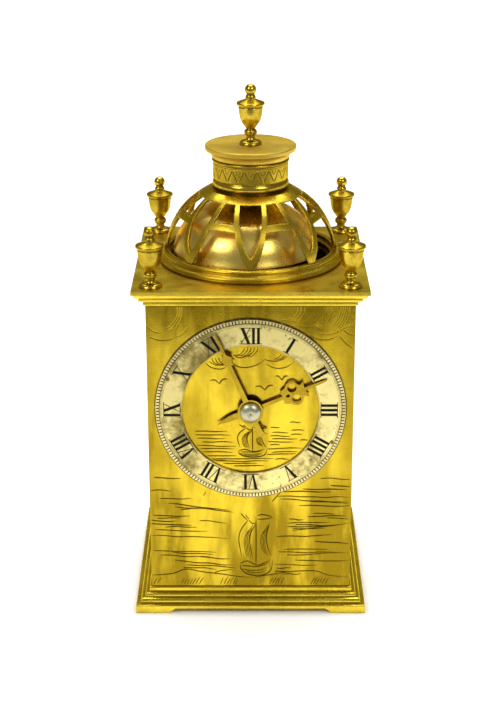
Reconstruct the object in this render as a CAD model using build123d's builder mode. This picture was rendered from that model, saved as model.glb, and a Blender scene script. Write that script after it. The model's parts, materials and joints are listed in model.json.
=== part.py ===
from build123d import *
from math import acos, cos, pi, radians, sin, sqrt, tan
import os

# Ships deck clock: a square brass table clock with a pierced bell dome, urn finials and a
# two-hand dial.  Millimetres, +Z up, the dial faces -Y, the table is z = 0.

os.makedirs("parts", exist_ok=True)

# ---------------------------------------------------------------- driving dimensions
CASE_HALF = 58.5            # half the width of the square case
SHEET = 2.0                 # thickness of the case plates
CASE_BOTTOM = 13.4          # top of the base mouldings
CASE_TOP = 188.2            # underside of the cornice
PLINTH_HALF = 67.5          # widest step of the base
FRAME_INNER = 52.0          # inner half width of base and cornice mouldings
TOP_PLATE_HALF = 66.1
TOP_PLATE_LOW = 196.3
TOP_PLATE_HIGH = 198.3
TOP_OPENING = 46.5          # radius of the hole under the bell
DIAL_Z = 126.2              # height of the hand arbor
FACE_Y = -CASE_HALF         # front surface of the dial plate
FINIAL_AT = 55.5            # corner finials, from the middle in x and y
BELL_X = -3.0               # the bell hangs a little to the left of the middle
FINIAL_TALL = 34.4
FOOT_HALF = 47.0            # half width of the arch cut under each base moulding
FOOT_ARCH = 3.0             # height of that arch

DOME_TOP = 240.8
DOME_FOOT = 203.4
DOME_SHELL = 1.7
DOME_LOW_ARC = 40.0         # radius of the lower curve of the dome
DOME_LOW_CENTRE = (9.2, 203.0)
DOME_HIGH_ARC = 53.84       # radius of the crown
DOME_HIGH_Z = 192.66
DOME_JOIN_Z = 232.88        # where the two curves meet
VEE_COUNT = 8

# depth positions of the movement, all along y
PLATE_FRONT = (-46.0, -48.0)     # back and front surface of the front movement plate
PLATE_BACK = (-12.0, -14.0)
PLATE_HALF = 42.0
PLATE_LOW = 79.0
PLATE_HIGH = 173.0
PILLAR_X = 37.0
PILLAR_Z = (85.0, 167.0)
RUNNING = 0.05              # radial clearance of a running fit

# wheel train: teeth and modules
GREAT_TEETH, CENTRE_LEAVES, GREAT_MODULE = 72, 12, 0.6
CENTRE_TEETH, THIRD_LEAVES, CENTRE_MODULE = 64, 8, 0.5
THIRD_TEETH, FOURTH_LEAVES, THIRD_MODULE = 60, 8, 0.45
FOURTH_TEETH, ESCAPE_LEAVES, FOURTH_MODULE = 80, 8, 0.32
CANNON_TEETH, MINUTE_TEETH, CANNON_MODULE = 12, 36, 0.5
MINUTE_LEAVES, HOUR_TEETH, HOUR_MODULE = 10, 40, 0.48
ESCAPE_TEETH = 15
RATCHET_TEETH = 24
PRESSURE = radians(20)


def along(start, angle_deg, distance):
    """Point at a distance from start, the angle counted from +X towards +Z."""
    turn = radians(angle_deg)
    return (start[0] + distance * cos(turn), start[1] + distance * sin(turn))


def mesh_distance(teeth_a, teeth_b, module):
    return (teeth_a + teeth_b) * module / 2


BARREL_DIR = -90
THIRD_DIR = 150
FOURTH_DIR = 60
ESCAPE_DIR = 0
MOTION_DIR = 0
LEVER_DIR = 10
CENTRE = (0.0, DIAL_Z)
BARREL = along(CENTRE, BARREL_DIR, mesh_distance(GREAT_TEETH, CENTRE_LEAVES, GREAT_MODULE))
THIRD = along(CENTRE, THIRD_DIR, mesh_distance(CENTRE_TEETH, THIRD_LEAVES, CENTRE_MODULE))
FOURTH = along(THIRD, FOURTH_DIR, mesh_distance(THIRD_TEETH, FOURTH_LEAVES, THIRD_MODULE))
ESCAPE = along(FOURTH, ESCAPE_DIR, mesh_distance(FOURTH_TEETH, ESCAPE_LEAVES, FOURTH_MODULE))
MINUTE = along(CENTRE, MOTION_DIR, mesh_distance(CANNON_TEETH, MINUTE_TEETH, CANNON_MODULE))
LEVER = along(ESCAPE, LEVER_DIR, 7.6)
BALANCE = along(ESCAPE, LEVER_DIR, 15.6)
HAMMER = (-30.0, 128.0)
CLICK = along(BARREL, 135, 14.5)
HAMMER_HEAD = (-30.8, 207.0)
HAMMER_TAIL = (-5.8, 124.0)

MINUTE_HAND_TURN = -23.1    # clockwise from twelve, as seen from the front
HOUR_HAND_TURN = 66.5


def save(builder, label):
    builder.part.label = label
    export_step(builder.part, "parts/" + label + ".step")


def frontal(x, z, y):
    """Drawing plane parallel to the dial at depth y; extruding goes towards the viewer."""
    return Plane(origin=(x, y, z), x_dir=(1, 0, 0), z_dir=(0, -1, 0))


def turned(centre, y, clockwise):
    """Plane at depth y whose +Y starts at twelve and is turned clockwise by an angle."""
    turn = radians(clockwise)
    return Plane(origin=(centre[0], y, centre[1]), x_dir=(cos(turn), 0, -sin(turn)), z_dir=(0, -1, 0))


def discs(centre, steps, mode=Mode.ADD):
    """Coaxial discs along y: each step is (back y, front y, radius)."""
    for back, front, radius in steps:
        with BuildSketch(frontal(centre[0], centre[1], back)) as shape:
            Circle(radius)
        extrude(shape.sketch, amount=back - front, mode=mode)


def polygon(points):
    with BuildLine() as outline:
        Polyline(*points, close=True)
    make_face(outline.edges())


# ---------------------------------------------------------------- toothed wheels
def involute(angle):
    return tan(angle) - angle


def tooth_half_angle(teeth, module, radius):
    """Half the tooth's angular width at a radius, with backlash taken off."""
    pitch = teeth * module / 2
    base = pitch * cos(PRESSURE)
    at_pitch = 0.82 * pi / (2 * teeth)
    if radius <= base:
        return at_pitch + involute(PRESSURE)
    return at_pitch + involute(PRESSURE) - involute(acos(base / radius))


def gear_outline(teeth, module, tooth_at, addendum=0.7, dedendum=1.05):
    """Corner points of a gear; tooth_at is the direction in degrees of one tooth's middle."""
    pitch = teeth * module / 2
    root = pitch - dedendum * module
    radii = [root, pitch - 0.45 * module, pitch, pitch + addendum * module]
    points = []
    for tooth in range(teeth):
        middle = radians(tooth_at) + tooth * 2 * pi / teeth
        for radius in radii:
            turn = middle - tooth_half_angle(teeth, module, radius)
            points.append((radius * cos(turn), radius * sin(turn)))
        for radius in reversed(radii):
            turn = middle + tooth_half_angle(teeth, module, radius)
            points.append((radius * cos(turn), radius * sin(turn)))
    return points


def gear(centre, back, front, teeth, module, tooth_at):
    with BuildSketch(frontal(centre[0], centre[1], back)) as shape:
        polygon(gear_outline(teeth, module, tooth_at))
    extrude(shape.sketch, amount=back - front)


def gap_at(teeth, direction):
    """Tooth direction that puts a gap at the given direction."""
    return direction + 180.0 / teeth


def crossings(centre, back, front, hub, rim, arms=4):
    """Windows between the arms of a wheel."""
    width = 1.7
    with BuildSketch(frontal(centre[0], centre[1], back)) as shape:
        Circle(rim)
        Circle(hub, mode=Mode.SUBTRACT)
        for arm in range(arms):
            with Locations(Rotation(0, 0, arm * 360.0 / arms)):
                Rectangle(2 * rim, width, align=(Align.MIN, Align.CENTER), mode=Mode.SUBTRACT)
    extrude(shape.sketch, amount=back - front, mode=Mode.SUBTRACT)


# ---------------------------------------------------------------- base and cornice mouldings
def side_plane(side):
    """Vertical drawing plane across one side, x outward from the middle, y up."""
    outward = {"front": (0, -1, 0), "back": (0, 1, 0), "left": (-1, 0, 0), "right": (1, 0, 0)}
    return Plane(origin=(0, 0, 0), x_dir=outward[side], z_dir=Vector(*outward[side]).cross(Vector(0, 0, 1)))


def mitre_wedge(side, low, high, half):
    """Keeps only the wedge of the square that belongs to one side."""
    corner = {
        "front": ((-half, -half), (half, -half)),
        "back": ((half, half), (-half, half)),
        "left": ((-half, half), (-half, -half)),
        "right": ((half, -half), (half, half)),
    }[side]
    with BuildSketch(Plane.XY.offset(low)) as shape:
        polygon([(0, 0), corner[0], corner[1]])
    extrude(shape.sketch, amount=high - low, mode=Mode.INTERSECT)


def base_profile():
    """Section of a base moulding: plinth and three rounded steps."""
    inner = FRAME_INNER
    with BuildLine() as outline:
        Polyline((inner, 0), (PLINTH_HALF, 0), (PLINTH_HALF, 4.35))
        ThreePointArc((PLINTH_HALF, 4.35), (PLINTH_HALF - 0.2, 4.85), (PLINTH_HALF - 0.7, 5.05))
        Polyline((PLINTH_HALF - 0.7, 5.05), (64.9, 5.05), (64.9, 6.3))
        ThreePointArc((64.9, 6.3), (64.3, 7.6), (62.6, 8.0))
        Polyline((62.6, 8.0), (62.3, 8.0), (62.3, 9.0))
        ThreePointArc((62.3, 9.0), (61.9, 9.9), (60.6, 10.2))
        Polyline((60.6, 10.2), (59.8, 10.2), (59.8, 12.3))
        ThreePointArc((59.8, 12.3), (59.5, 13.1), (58.8, CASE_BOTTOM))
        Polyline((58.8, CASE_BOTTOM), (inner, CASE_BOTTOM), (inner, 0))
    make_face(outline.edges())


def cornice_profile():
    """Section of a cornice moulding: fillet, small ovolo and large ovolo, widening upward."""
    inner = FRAME_INNER
    with BuildLine() as outline:
        Polyline((inner, CASE_TOP), (59.1, CASE_TOP))
        ThreePointArc((59.1, CASE_TOP), (59.6, 188.7), (59.7, 189.6))
        Polyline((59.7, 189.6), (59.7, 190.9), (60.6, 190.9))
        ThreePointArc((60.6, 190.9), (61.7, 191.4), (62.1, 192.6))
        Polyline((62.1, 192.6), (62.1, 193.6), (62.8, 193.6))
        ThreePointArc((62.8, 193.6), (64.2, 194.3), (64.8, 195.7))
        Polyline((64.8, 195.7), (64.8, TOP_PLATE_LOW), (inner, TOP_PLATE_LOW), (inner, CASE_TOP))
    make_face(outline.edges())


def moulding(side, profile, low, high):
    half = PLINTH_HALF + 5
    with BuildSketch(side_plane(side)) as shape:
        profile()
    extrude(shape.sketch, amount=half, both=True)
    mitre_wedge(side, low, high, half)


def foot_arch(side):
    """Low arch under a base moulding that leaves a bracket foot at each end."""
    flare = 3.0
    step = 1.0
    axis_y = side in ("left", "right")
    plane = Plane.YZ if axis_y else Plane.XZ
    with BuildSketch(plane) as shape:
        with BuildLine() as outline:
            Polyline((-FOOT_HALF, -1), (-FOOT_HALF, step), (-FOOT_HALF + flare, FOOT_ARCH))
            Line((-FOOT_HALF + flare, FOOT_ARCH), (FOOT_HALF - flare, FOOT_ARCH))
            Polyline((FOOT_HALF - flare, FOOT_ARCH), (FOOT_HALF, step), (FOOT_HALF, -1))
            Line((FOOT_HALF, -1), (-FOOT_HALF, -1))
        make_face(outline.edges())
    extrude(shape.sketch, amount=PLINTH_HALF + 5, both=True, mode=Mode.SUBTRACT)


for side in ("front", "back", "left", "right"):
    with BuildPart() as base_moulding:
        moulding(side, base_profile, 0, CASE_BOTTOM)
        foot_arch(side)
    save(base_moulding, "base_moulding_" + side)

    with BuildPart() as cornice:
        moulding(side, cornice_profile, CASE_TOP, TOP_PLATE_LOW)
        with BuildSketch(Plane.XY.offset(TOP_PLATE_LOW)):
            with GridLocations(2 * FINIAL_AT, 2 * FINIAL_AT, 2, 2):
                Circle(1.6)
        extrude(amount=-5, mode=Mode.SUBTRACT)
    save(cornice, "cornice_" + side)

with BuildPart() as base_plate:
    with BuildSketch(Plane.XY.offset(CASE_BOTTOM - SHEET)):
        Rectangle(2 * FRAME_INNER, 2 * FRAME_INNER)
    extrude(amount=SHEET)
save(base_plate, "base_plate")

# ---------------------------------------------------------------- case walls
with BuildPart() as front_plate:
    with BuildSketch(frontal(0, (CASE_BOTTOM + CASE_TOP) / 2, FACE_Y + SHEET)):
        Rectangle(2 * CASE_HALF, CASE_TOP - CASE_BOTTOM)
    extrude(amount=SHEET)
    discs(CENTRE, [(FACE_Y + SHEET, FACE_Y, 3.6)], Mode.SUBTRACT)
    for pillar_z in PILLAR_Z:
        for pillar_x in (-PILLAR_X, PILLAR_X):
            discs((pillar_x, pillar_z), [(FACE_Y + SHEET, FACE_Y + 0.6, 1.5)], Mode.SUBTRACT)
save(front_plate, "front_plate")

for side, sign in (("left", -1), ("right", 1)):
    with BuildPart() as side_panel:
        wall_x = sign * (CASE_HALF - SHEET / 2)
        wall_y = (FACE_Y + SHEET + CASE_HALF - 0.4) / 2
        wall_depth = CASE_HALF - 0.4 - (FACE_Y + SHEET)
        with BuildSketch(Plane.XY.offset(CASE_BOTTOM)):
            with Locations((wall_x, wall_y)):
                Rectangle(SHEET, wall_depth)
        extrude(amount=CASE_TOP - CASE_BOTTOM)
    save(side_panel, side + "_side_panel")

POST = 6.0
POST_AT = CASE_HALF - SHEET - POST / 2
with BuildPart() as corner_posts:
    with BuildSketch(Plane.XY.offset(CASE_BOTTOM)):
        with Locations((-POST_AT, -POST_AT), (POST_AT, -POST_AT)):
            Rectangle(POST, POST)
        with Locations((-POST_AT, POST_AT - 0.35), (POST_AT, POST_AT - 0.35)):
            Rectangle(POST, POST)
    extrude(amount=CASE_TOP - CASE_BOTTOM)
save(corner_posts, "corner_posts")

with BuildPart() as top_plate:
    with BuildSketch(Plane.XY.offset(TOP_PLATE_LOW)):
        Rectangle(2 * TOP_PLATE_HALF, 2 * TOP_PLATE_HALF)
        Circle(TOP_OPENING, mode=Mode.SUBTRACT)
        with GridLocations(2 * FINIAL_AT, 2 * FINIAL_AT, 2, 2):
            Circle(1.6, mode=Mode.SUBTRACT)
    extrude(amount=TOP_PLATE_HIGH - TOP_PLATE_LOW)
save(top_plate, "top_plate")


# ---------------------------------------------------------------- urn finials
def finial_profile(stud):
    """Half section of an urn finial standing on height 0, with a screw stud below."""
    with BuildLine() as outline:
        Polyline((0, -stud), (1.45, -stud), (1.45, 0), (6.4, 0), (6.4, 0.9))
        ThreePointArc((6.4, 0.9), (5.6, 1.9), (4.4, 2.3))
        ThreePointArc((4.4, 2.3), (3.0, 2.9), (2.5, 4.0))
        Polyline((2.5, 4.0), (2.4, 5.2), (3.0, 5.4))
        ThreePointArc((3.0, 5.4), (3.7, 6.9), (3.0, 8.5))
        Line((3.0, 8.5), (2.4, 8.9))
        Spline((2.4, 8.9), (3.3, 10.4), (5.1, 12.9), (6.3, 16.6), (6.9, 21.3))
        Polyline((6.9, 21.3), (6.6, 21.5), (6.6, 22.0), (7.5, 22.4))
        ThreePointArc((7.5, 22.4), (8.0, 23.2), (7.7, 24.1))
        Spline((7.7, 24.1), (5.6, 24.9), (3.3, 25.8))
        Line((3.3, 25.8), (2.9, 26.2))
        ThreePointArc((2.9, 26.2), (2.9, 27.2), (2.0, 28.6))
        ThreePointArc((2.0, 28.6), (3.24, 31.2), (0.5, FINIAL_TALL))
        Polyline((0.5, FINIAL_TALL), (0, FINIAL_TALL), (0, -stud))
    make_face(outline.edges())


def finial(x, y, seat, stud):
    with BuildSketch(Plane(origin=(x, y, seat), x_dir=(1, 0, 0), z_dir=(0, -1, 0))) as shape:
        finial_profile(stud)
    revolve(shape.sketch, axis=Axis((x, y, 0), (0, 0, 1)))


for label, sign_x, sign_y in (
    ("front_left", -1, -1),
    ("front_right", 1, -1),
    ("back_left", -1, 1),
    ("back_right", 1, 1),
):
    with BuildPart() as corner_finial:
        finial(sign_x * FINIAL_AT, sign_y * FINIAL_AT, TOP_PLATE_HIGH, 6.0)
    save(corner_finial, "finial_" + label)

CAP_TOP = 265.8
with BuildPart() as top_finial:
    finial(0, 0, CAP_TOP, 4.0)
save(top_finial, "top_finial")

# ---------------------------------------------------------------- bell dome
with BuildPart() as dome_ring:
    with BuildSketch(Plane.XZ):
        with BuildLine():
            Polyline((TOP_OPENING, TOP_PLATE_HIGH), (52.7, TOP_PLATE_HIGH), (52.7, 198.7))
            ThreePointArc((52.7, 198.7), (53.1, 200.3), (52.2, 201.7))
            ThreePointArc((52.2, 201.7), (51.3, 202.0), (51.0, 202.9))
            ThreePointArc((51.0, 202.9), (50.9, 204.6), (50.1, 205.3))
            ThreePointArc((50.1, 205.3), (49.6, 205.2), (49.4, 204.7))
            Polyline((49.4, 204.7), (49.4, DOME_FOOT), (47.4, DOME_FOOT), (47.4, 202.4))
            Polyline((47.4, 202.4), (TOP_OPENING, 201.6), (TOP_OPENING, TOP_PLATE_HIGH))
        make_face()
    revolve(axis=Axis.Z)
save(dome_ring, "dome_ring")


def dome_radius(height, inset=0.0):
    if height < DOME_JOIN_Z:
        rise = height - DOME_LOW_CENTRE[1]
        return DOME_LOW_CENTRE[0] + sqrt((DOME_LOW_ARC - inset) ** 2 - rise ** 2)
    return sqrt((DOME_HIGH_ARC - inset) ** 2 - (height - DOME_HIGH_Z) ** 2)


def dome_section():
    """Half section of the dome shell, outer curve down and inner curve back up."""
    inner_top = DOME_TOP - DOME_SHELL
    low, mid, high = DOME_FOOT, 218.0, 226.0
    join = 231.2
    with BuildLine() as outline:
        Line((17.0, DOME_TOP), (dome_radius(DOME_TOP), DOME_TOP))
        ThreePointArc(
            (dome_radius(DOME_TOP), DOME_TOP),
            (dome_radius(237.0), 237.0),
            (dome_radius(DOME_JOIN_Z), DOME_JOIN_Z),
        )
        ThreePointArc(
            (dome_radius(DOME_JOIN_Z), DOME_JOIN_Z),
            (dome_radius(mid), mid),
            (dome_radius(low), low),
        )
        Line((dome_radius(low), low), (dome_radius(low, DOME_SHELL), low))
        ThreePointArc(
            (dome_radius(low, DOME_SHELL), low),
            (dome_radius(mid, DOME_SHELL), mid),
            (dome_radius(join, DOME_SHELL), join),
        )
        ThreePointArc(
            (dome_radius(join, DOME_SHELL), join),
            (sqrt((DOME_HIGH_ARC - DOME_SHELL) ** 2 - (235.5 - DOME_HIGH_Z) ** 2), 235.5),
            (sqrt((DOME_HIGH_ARC - DOME_SHELL) ** 2 - (inner_top - DOME_HIGH_Z) ** 2), inner_top),
        )
        Polyline(
            (sqrt((DOME_HIGH_ARC - DOME_SHELL) ** 2 - (inner_top - DOME_HIGH_Z) ** 2), inner_top),
            (17.0, inner_top),
            (17.0, DOME_TOP),
        )
    make_face(outline.edges())


def radial_plane(turn):
    """Plane through the dome's axis facing outward at an angle from the front."""
    facing = radians(turn)
    across = (cos(facing), sin(facing), 0)
    outward = (sin(facing), -cos(facing), 0)
    return Plane(origin=(0, 0, 0), x_dir=across, z_dir=outward)


def vee_window():
    right = [(5.9, 237.4), (6.3, 232.0), (5.8, 225.9), (4.4, 220.7), (2.5, 215.2), (0.0, 211.6)]
    left = [(-x, z) for x, z in reversed(right)]
    with BuildLine() as outline:
        Spline(*right)
        Spline(*left)
        Line(left[-1], right[0])
    make_face(outline.edges())


def upper_window():
    with BuildLine() as outline:
        Polyline((-2.9, 237.6), (2.9, 237.6), (6.2, 228.4))
        ThreePointArc((6.2, 228.4), (0, 228.8), (-6.2, 228.4))
        Line((-6.2, 228.4), (-2.9, 237.6))
    make_face(outline.edges())


def lower_window():
    right = [(8.0, 225.0), (10.2, 219.0), (13.0, 213.0), (15.8, 206.8), (16.6, 205.3)]
    left = [(-x, z) for x, z in reversed(right)]
    with BuildLine() as outline:
        Spline(*right)
        Line(right[-1], left[0])
        Spline(*left)
        ThreePointArc(left[-1], (0, 225.5), right[0])
    make_face(outline.edges())


with BuildPart() as dome_fret:
    with BuildSketch(Plane.XZ):
        dome_section()
    revolve(axis=Axis.Z)
    for vee in range(VEE_COUNT):
        turn = vee * 360.0 / VEE_COUNT
        with BuildSketch(radial_plane(turn)):
            vee_window()
        extrude(amount=60, mode=Mode.SUBTRACT)
        with BuildSketch(radial_plane(turn + 180.0 / VEE_COUNT)):
            upper_window()
        extrude(amount=60, mode=Mode.SUBTRACT)
        with BuildSketch(radial_plane(turn + 180.0 / VEE_COUNT)):
            lower_window()
        extrude(amount=60, mode=Mode.SUBTRACT)
save(dome_fret, "dome_fret")

# ---------------------------------------------------------------- turret on the dome
DRUM_TOP = 258.7
DRUM_BORE = 14.0
BAND_RADIUS = 21.4
BAND_LOW = 247.1
BAND_HIGH = 256.4
with BuildPart() as turret_drum:
    with BuildSketch(Plane.XZ):
        with BuildLine():
            Polyline((DRUM_BORE, DOME_TOP), (20.8, DOME_TOP), (20.8, 241.5))
            ThreePointArc((20.8, 241.5), (22.0, 243.9), (21.0, 246.3))
            Polyline((21.0, 246.3), (20.9, 246.8), (BAND_RADIUS, BAND_LOW))
            Polyline((BAND_RADIUS, BAND_LOW), (BAND_RADIUS, BAND_HIGH), (21.0, 256.6))
            ThreePointArc((21.0, 256.6), (22.2, 257.3), (21.5, 258.2))
            Polyline((21.5, 258.2), (21.2, DRUM_TOP), (DRUM_BORE, DRUM_TOP), (DRUM_BORE, DOME_TOP))
        make_face()
    revolve(axis=Axis.Z)
save(turret_drum, "turret_drum")

with BuildPart() as turret_cap:
    with BuildSketch(Plane.XZ):
        with BuildLine():
            Polyline((1.5, DRUM_TOP), (21.9, DRUM_TOP), (22.2, 259.3))
            ThreePointArc((22.2, 259.3), (23.1, 261.3), (25.2, 262.8))
            Polyline((25.2, 262.8), (25.9, 263.1), (26.1, 263.6), (26.1, 265.2))
            ThreePointArc((26.1, 265.2), (25.9, 265.65), (25.5, CAP_TOP))
            Polyline((25.5, CAP_TOP), (1.5, CAP_TOP), (1.5, DRUM_TOP))
        make_face()
    revolve(axis=Axis.Z)
save(turret_cap, "turret_cap")

# ---------------------------------------------------------------- bell and its stand
with BuildPart() as bell:
    with BuildSketch(Plane(origin=(BELL_X, 0, 0), x_dir=(1, 0, 0), z_dir=(0, -1, 0))):
        outer = [(42.6, 204.0), (41.6, 206.8), (39.9, 212.0), (36.8, 218.0)]
        outer += [(31.7, 224.0), (24.1, 228.7), (13.1, 231.8)]
        inner = [(11.9, 229.6), (22.5, 226.6), (29.7, 222.3), (34.6, 216.6)]
        inner += [(37.5, 210.9), (39.2, 205.8), (40.0, 204.0)]
        with BuildLine():
            Spline(*outer, (3.05, 232.5), tangents=((-0.25, 1), (-1, 0)))
            Polyline((3.05, 232.5), (3.05, 230.4), (5.5, 230.4))
            Spline((5.5, 230.4), *inner, tangents=((1, 0), (0.4, -1)))
            Line((40.0, 204.0), (42.6, 204.0))
        make_face()
    revolve(axis=Axis((BELL_X, 0, 0), (0, 0, 1)))
save(bell, "bell")

with BuildPart() as bell_stand:
    with BuildSketch(Plane.XY.offset(TOP_PLATE_LOW - 3)):
        with Locations((BELL_X, 0)):
            Rectangle(12, 2 * FRAME_INNER - 1)
    extrude(amount=3)
    with BuildSketch(Plane.XY.offset(TOP_PLATE_LOW)):
        with Locations((BELL_X, 0)):
            Circle(4.6)
    extrude(amount=230.4 - TOP_PLATE_LOW)
    with BuildSketch(Plane.XY.offset(230.4)):
        with Locations((BELL_X, 0)):
            Circle(3.0)
    extrude(amount=6.2)
save(bell_stand, "bell_stand")

with BuildPart() as bell_nut:
    with BuildSketch(Plane(origin=(BELL_X, 0, 0), x_dir=(1, 0, 0), z_dir=(0, -1, 0))):
        with BuildLine():
            Polyline((3.05, 232.5), (6.6, 232.5), (6.6, 234.6))
            ThreePointArc((6.6, 234.6), (5.7, 236.1), (3.05, 236.6))
            Line((3.05, 236.6), (3.05, 232.5))
        make_face()
    revolve(axis=Axis((BELL_X, 0, 0), (0, 0, 1)))
save(bell_nut, "bell_nut")

# ---------------------------------------------------------------- dial rings
RING_INNER = 39.1
RING_OUTER = 51.6
RING_THICK = 1.5
MILLED_OUTER = 54.6
MILLED_AT = 52.9            # middle radius of the milled slots
MILLED_STEPS = 180
NUMERAL_LOW = 40.2
NUMERAL_HIGH = 49.1
STROKE = 1.6
HAIR = 0.45
SERIF = 1.0                 # how far the serif bars run past the strokes
NUMERAL_CUT = 0.15
PIN_TURNS = (292.0, 113.0)
PIN_ORBIT = 50.4


def slanted(low_from, low_to, high_from, high_to):
    """Four-cornered stroke given by where it starts and ends along its foot and its head."""
    low, high = NUMERAL_LOW, NUMERAL_HIGH
    return [(low_from, low), (low_to, low), (high_to, high), (high_from, high)]


def numeral_strokes(text):
    """Strokes of a roman numeral as four-cornered shapes, centred on x = 0, feet at NUMERAL_LOW."""
    width = {"I": 2.8, "V": 5.9, "X": 6.0}
    total = sum(width[letter] for letter in text)
    left = -total / 2
    shapes = []
    for letter in text:
        middle = left + width[letter] / 2
        if letter == "I":
            edge = STROKE / 2
            shapes.append(slanted(middle - edge, middle + edge, middle - edge, middle + edge))
        if letter == "V":
            shapes.append(slanted(middle - 0.5, middle + 0.5, middle - 2.7, middle - 0.8))
            shapes.append(slanted(middle, middle + 0.5, middle + 2.1, middle + 2.6))
        if letter == "X":
            shapes.append(slanted(middle + 0.8, middle + 2.7, middle - 2.7, middle - 0.8))
            shapes.append(slanted(middle - 2.6, middle - 2.1, middle + 2.1, middle + 2.6))
        left += width[letter]
    half = total / 2 - 0.4 + SERIF
    for foot in (NUMERAL_LOW - HAIR, NUMERAL_HIGH):
        shapes.append([(-half, foot), (half, foot), (half, foot + HAIR), (-half, foot + HAIR)])
    return shapes


NUMERALS = ["XII", "I", "II", "III", "IIII", "V", "VI", "VII", "VIII", "IX", "X", "XI"]
with BuildPart() as chapter_ring:
    discs(CENTRE, [(FACE_Y, FACE_Y - RING_THICK, RING_OUTER)])
    discs(CENTRE, [(FACE_Y, FACE_Y - RING_THICK, RING_INNER)], Mode.SUBTRACT)
    for turn in PIN_TURNS:
        pin_at = along(CENTRE, 90 - turn, PIN_ORBIT)
        discs(pin_at, [(FACE_Y, FACE_Y - RING_THICK, 0.9)], Mode.SUBTRACT)
    for hour, text in enumerate(NUMERALS):
        with BuildSketch(turned(CENTRE, FACE_Y - RING_THICK + NUMERAL_CUT, 30.0 * hour)):
            for shape in numeral_strokes(text):
                polygon(shape)
        extrude(amount=1, mode=Mode.SUBTRACT)
save(chapter_ring, "chapter_ring")

with BuildPart() as ring_pins:
    for turn in PIN_TURNS:
        pin_at = along(CENTRE, 90 - turn, PIN_ORBIT)
        discs(pin_at, [(FACE_Y, FACE_Y - RING_THICK, 0.9)])
        discs(pin_at, [(FACE_Y - RING_THICK, FACE_Y - RING_THICK - 0.5, 1.0)])
save(ring_pins, "ring_pins")

with BuildPart() as milled_ring:
    discs(CENTRE, [(FACE_Y, FACE_Y - 0.9, MILLED_OUTER), (FACE_Y - 0.9, FACE_Y - 1.3, MILLED_OUTER - 0.5)])
    discs(CENTRE, [(FACE_Y, FACE_Y - 3.0, RING_OUTER)], Mode.SUBTRACT)
    with BuildSketch(frontal(0, DIAL_Z, FACE_Y - 0.9)):
        with PolarLocations(MILLED_AT, MILLED_STEPS, 1.0):
            Rectangle(1.7, 0.65)
    extrude(amount=1, mode=Mode.SUBTRACT)
save(milled_ring, "milled_ring")


# ---------------------------------------------------------------- hands and motion work
HOUR_PIPE_OUT = 3.0
HOUR_PIPE_IN = 2.1
CANNON_PIPE_OUT = HOUR_PIPE_IN - RUNNING
ARBOR_FRONT = 1.2
HOUR_HAND_Y = (-60.6, -61.4)
MINUTE_HAND_Y = (-62.4, -63.2)

with BuildPart() as hour_hand:
    with BuildSketch(turned(CENTRE, HOUR_HAND_Y[0], HOUR_HAND_TURN)):
        Circle(6.4)
        polygon([(-1.1, 5), (1.1, 5), (0.9, 22), (-0.9, 22)])
        polygon([(-1.0, 31), (1.0, 31), (0.75, 45.2), (0, 47.2), (-0.75, 45.2)])
        for side in (-1, 1):
            with Locations((side * 3.4, 26.8)):
                Circle(4.0)
            low_leaf = [(0.3, 20.4), (3.4, 19.4), (4.6, 21.4), (5.4, 24.6), (1.0, 24.0)]
            high_leaf = [(0.4, 29.0), (5.2, 30.2), (3.4, 31.6), (5.0, 34.2), (0.6, 33.4)]
            polygon([(side * u, v) for u, v in low_leaf])
            polygon([(side * u, v) for u, v in high_leaf])
        for side in (-1, 1):
            with Locations((side * 3.5, 26.9)):
                Circle(2.6, mode=Mode.SUBTRACT)
        polygon([(-0.5, 24), (0.5, 24), (0.5, 31), (-0.5, 31)])
        with BuildLine():
            Polyline((1.5, -5), (-1.5, -5))
            Spline((-1.5, -5), (-2.1, -9), (-1.7, -14), (0.4, -20.6))
            Spline((0.4, -20.6), (1.2, -14), (1.6, -9), (1.5, -5))
        make_face()
    extrude(amount=HOUR_HAND_Y[0] - HOUR_HAND_Y[1])
    discs(CENTRE, [(HOUR_HAND_Y[0] + 1.0, HOUR_HAND_Y[0], 5.0)])
    discs(CENTRE, [(HOUR_HAND_Y[1], HOUR_HAND_Y[1] - 0.5, 5.6)])
    discs(CENTRE, [(HOUR_HAND_Y[0] + 1.0, HOUR_HAND_Y[1] - 1, HOUR_PIPE_OUT)], Mode.SUBTRACT)
save(hour_hand, "hour_hand")

with BuildPart() as minute_hand:
    with BuildSketch(turned(CENTRE, MINUTE_HAND_Y[0], MINUTE_HAND_TURN)):
        Circle(7.3)
        polygon([(-1.6, 4), (1.6, 4), (1.15, 33), (-1.15, 33)])
        polygon([(-0.9, 32), (0.9, 32), (0.75, 46), (0, 52), (-0.75, 46)])
        for side in (-1, 1):
            leaf = [(0.6, 30.6), (2.9, 29.6), (2.1, 32.0), (3.2, 34.4), (0.6, 37.2)]
            polygon([(side * u, v) for u, v in leaf])
            tail = [(0, -5.0), (1.3, -5.0), (1.7, -13.5), (3.4, -16.2), (1.4, -15.6), (0, -17.6)]
            polygon([(side * u, v) for u, v in tail])
    extrude(amount=MINUTE_HAND_Y[0] - MINUTE_HAND_Y[1])
    discs(CENTRE, [(MINUTE_HAND_Y[0], MINUTE_HAND_Y[1], CANNON_PIPE_OUT)], Mode.SUBTRACT)
save(minute_hand, "minute_hand")

with BuildPart() as hand_nut:
    with BuildSketch(Plane(origin=(0, 0, DIAL_Z), x_dir=(0, -1, 0), z_dir=(0, 0, 1))):
        with BuildLine():
            Polyline((63.2, 0), (63.2, 5.9), (64.6, 5.9))
            ThreePointArc((64.6, 5.9), (66.3, 4.2), (67.0, 1.6))
            Polyline((67.0, 1.6), (66.7, 1.2), (66.7, 0), (63.2, 0))
        make_face()
    revolve(axis=Axis((0, 0, DIAL_Z), (0, -1, 0)))
    discs(CENTRE, [(-63.2, -65.7, ARBOR_FRONT)], Mode.SUBTRACT)
save(hand_nut, "hand_nut")

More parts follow.
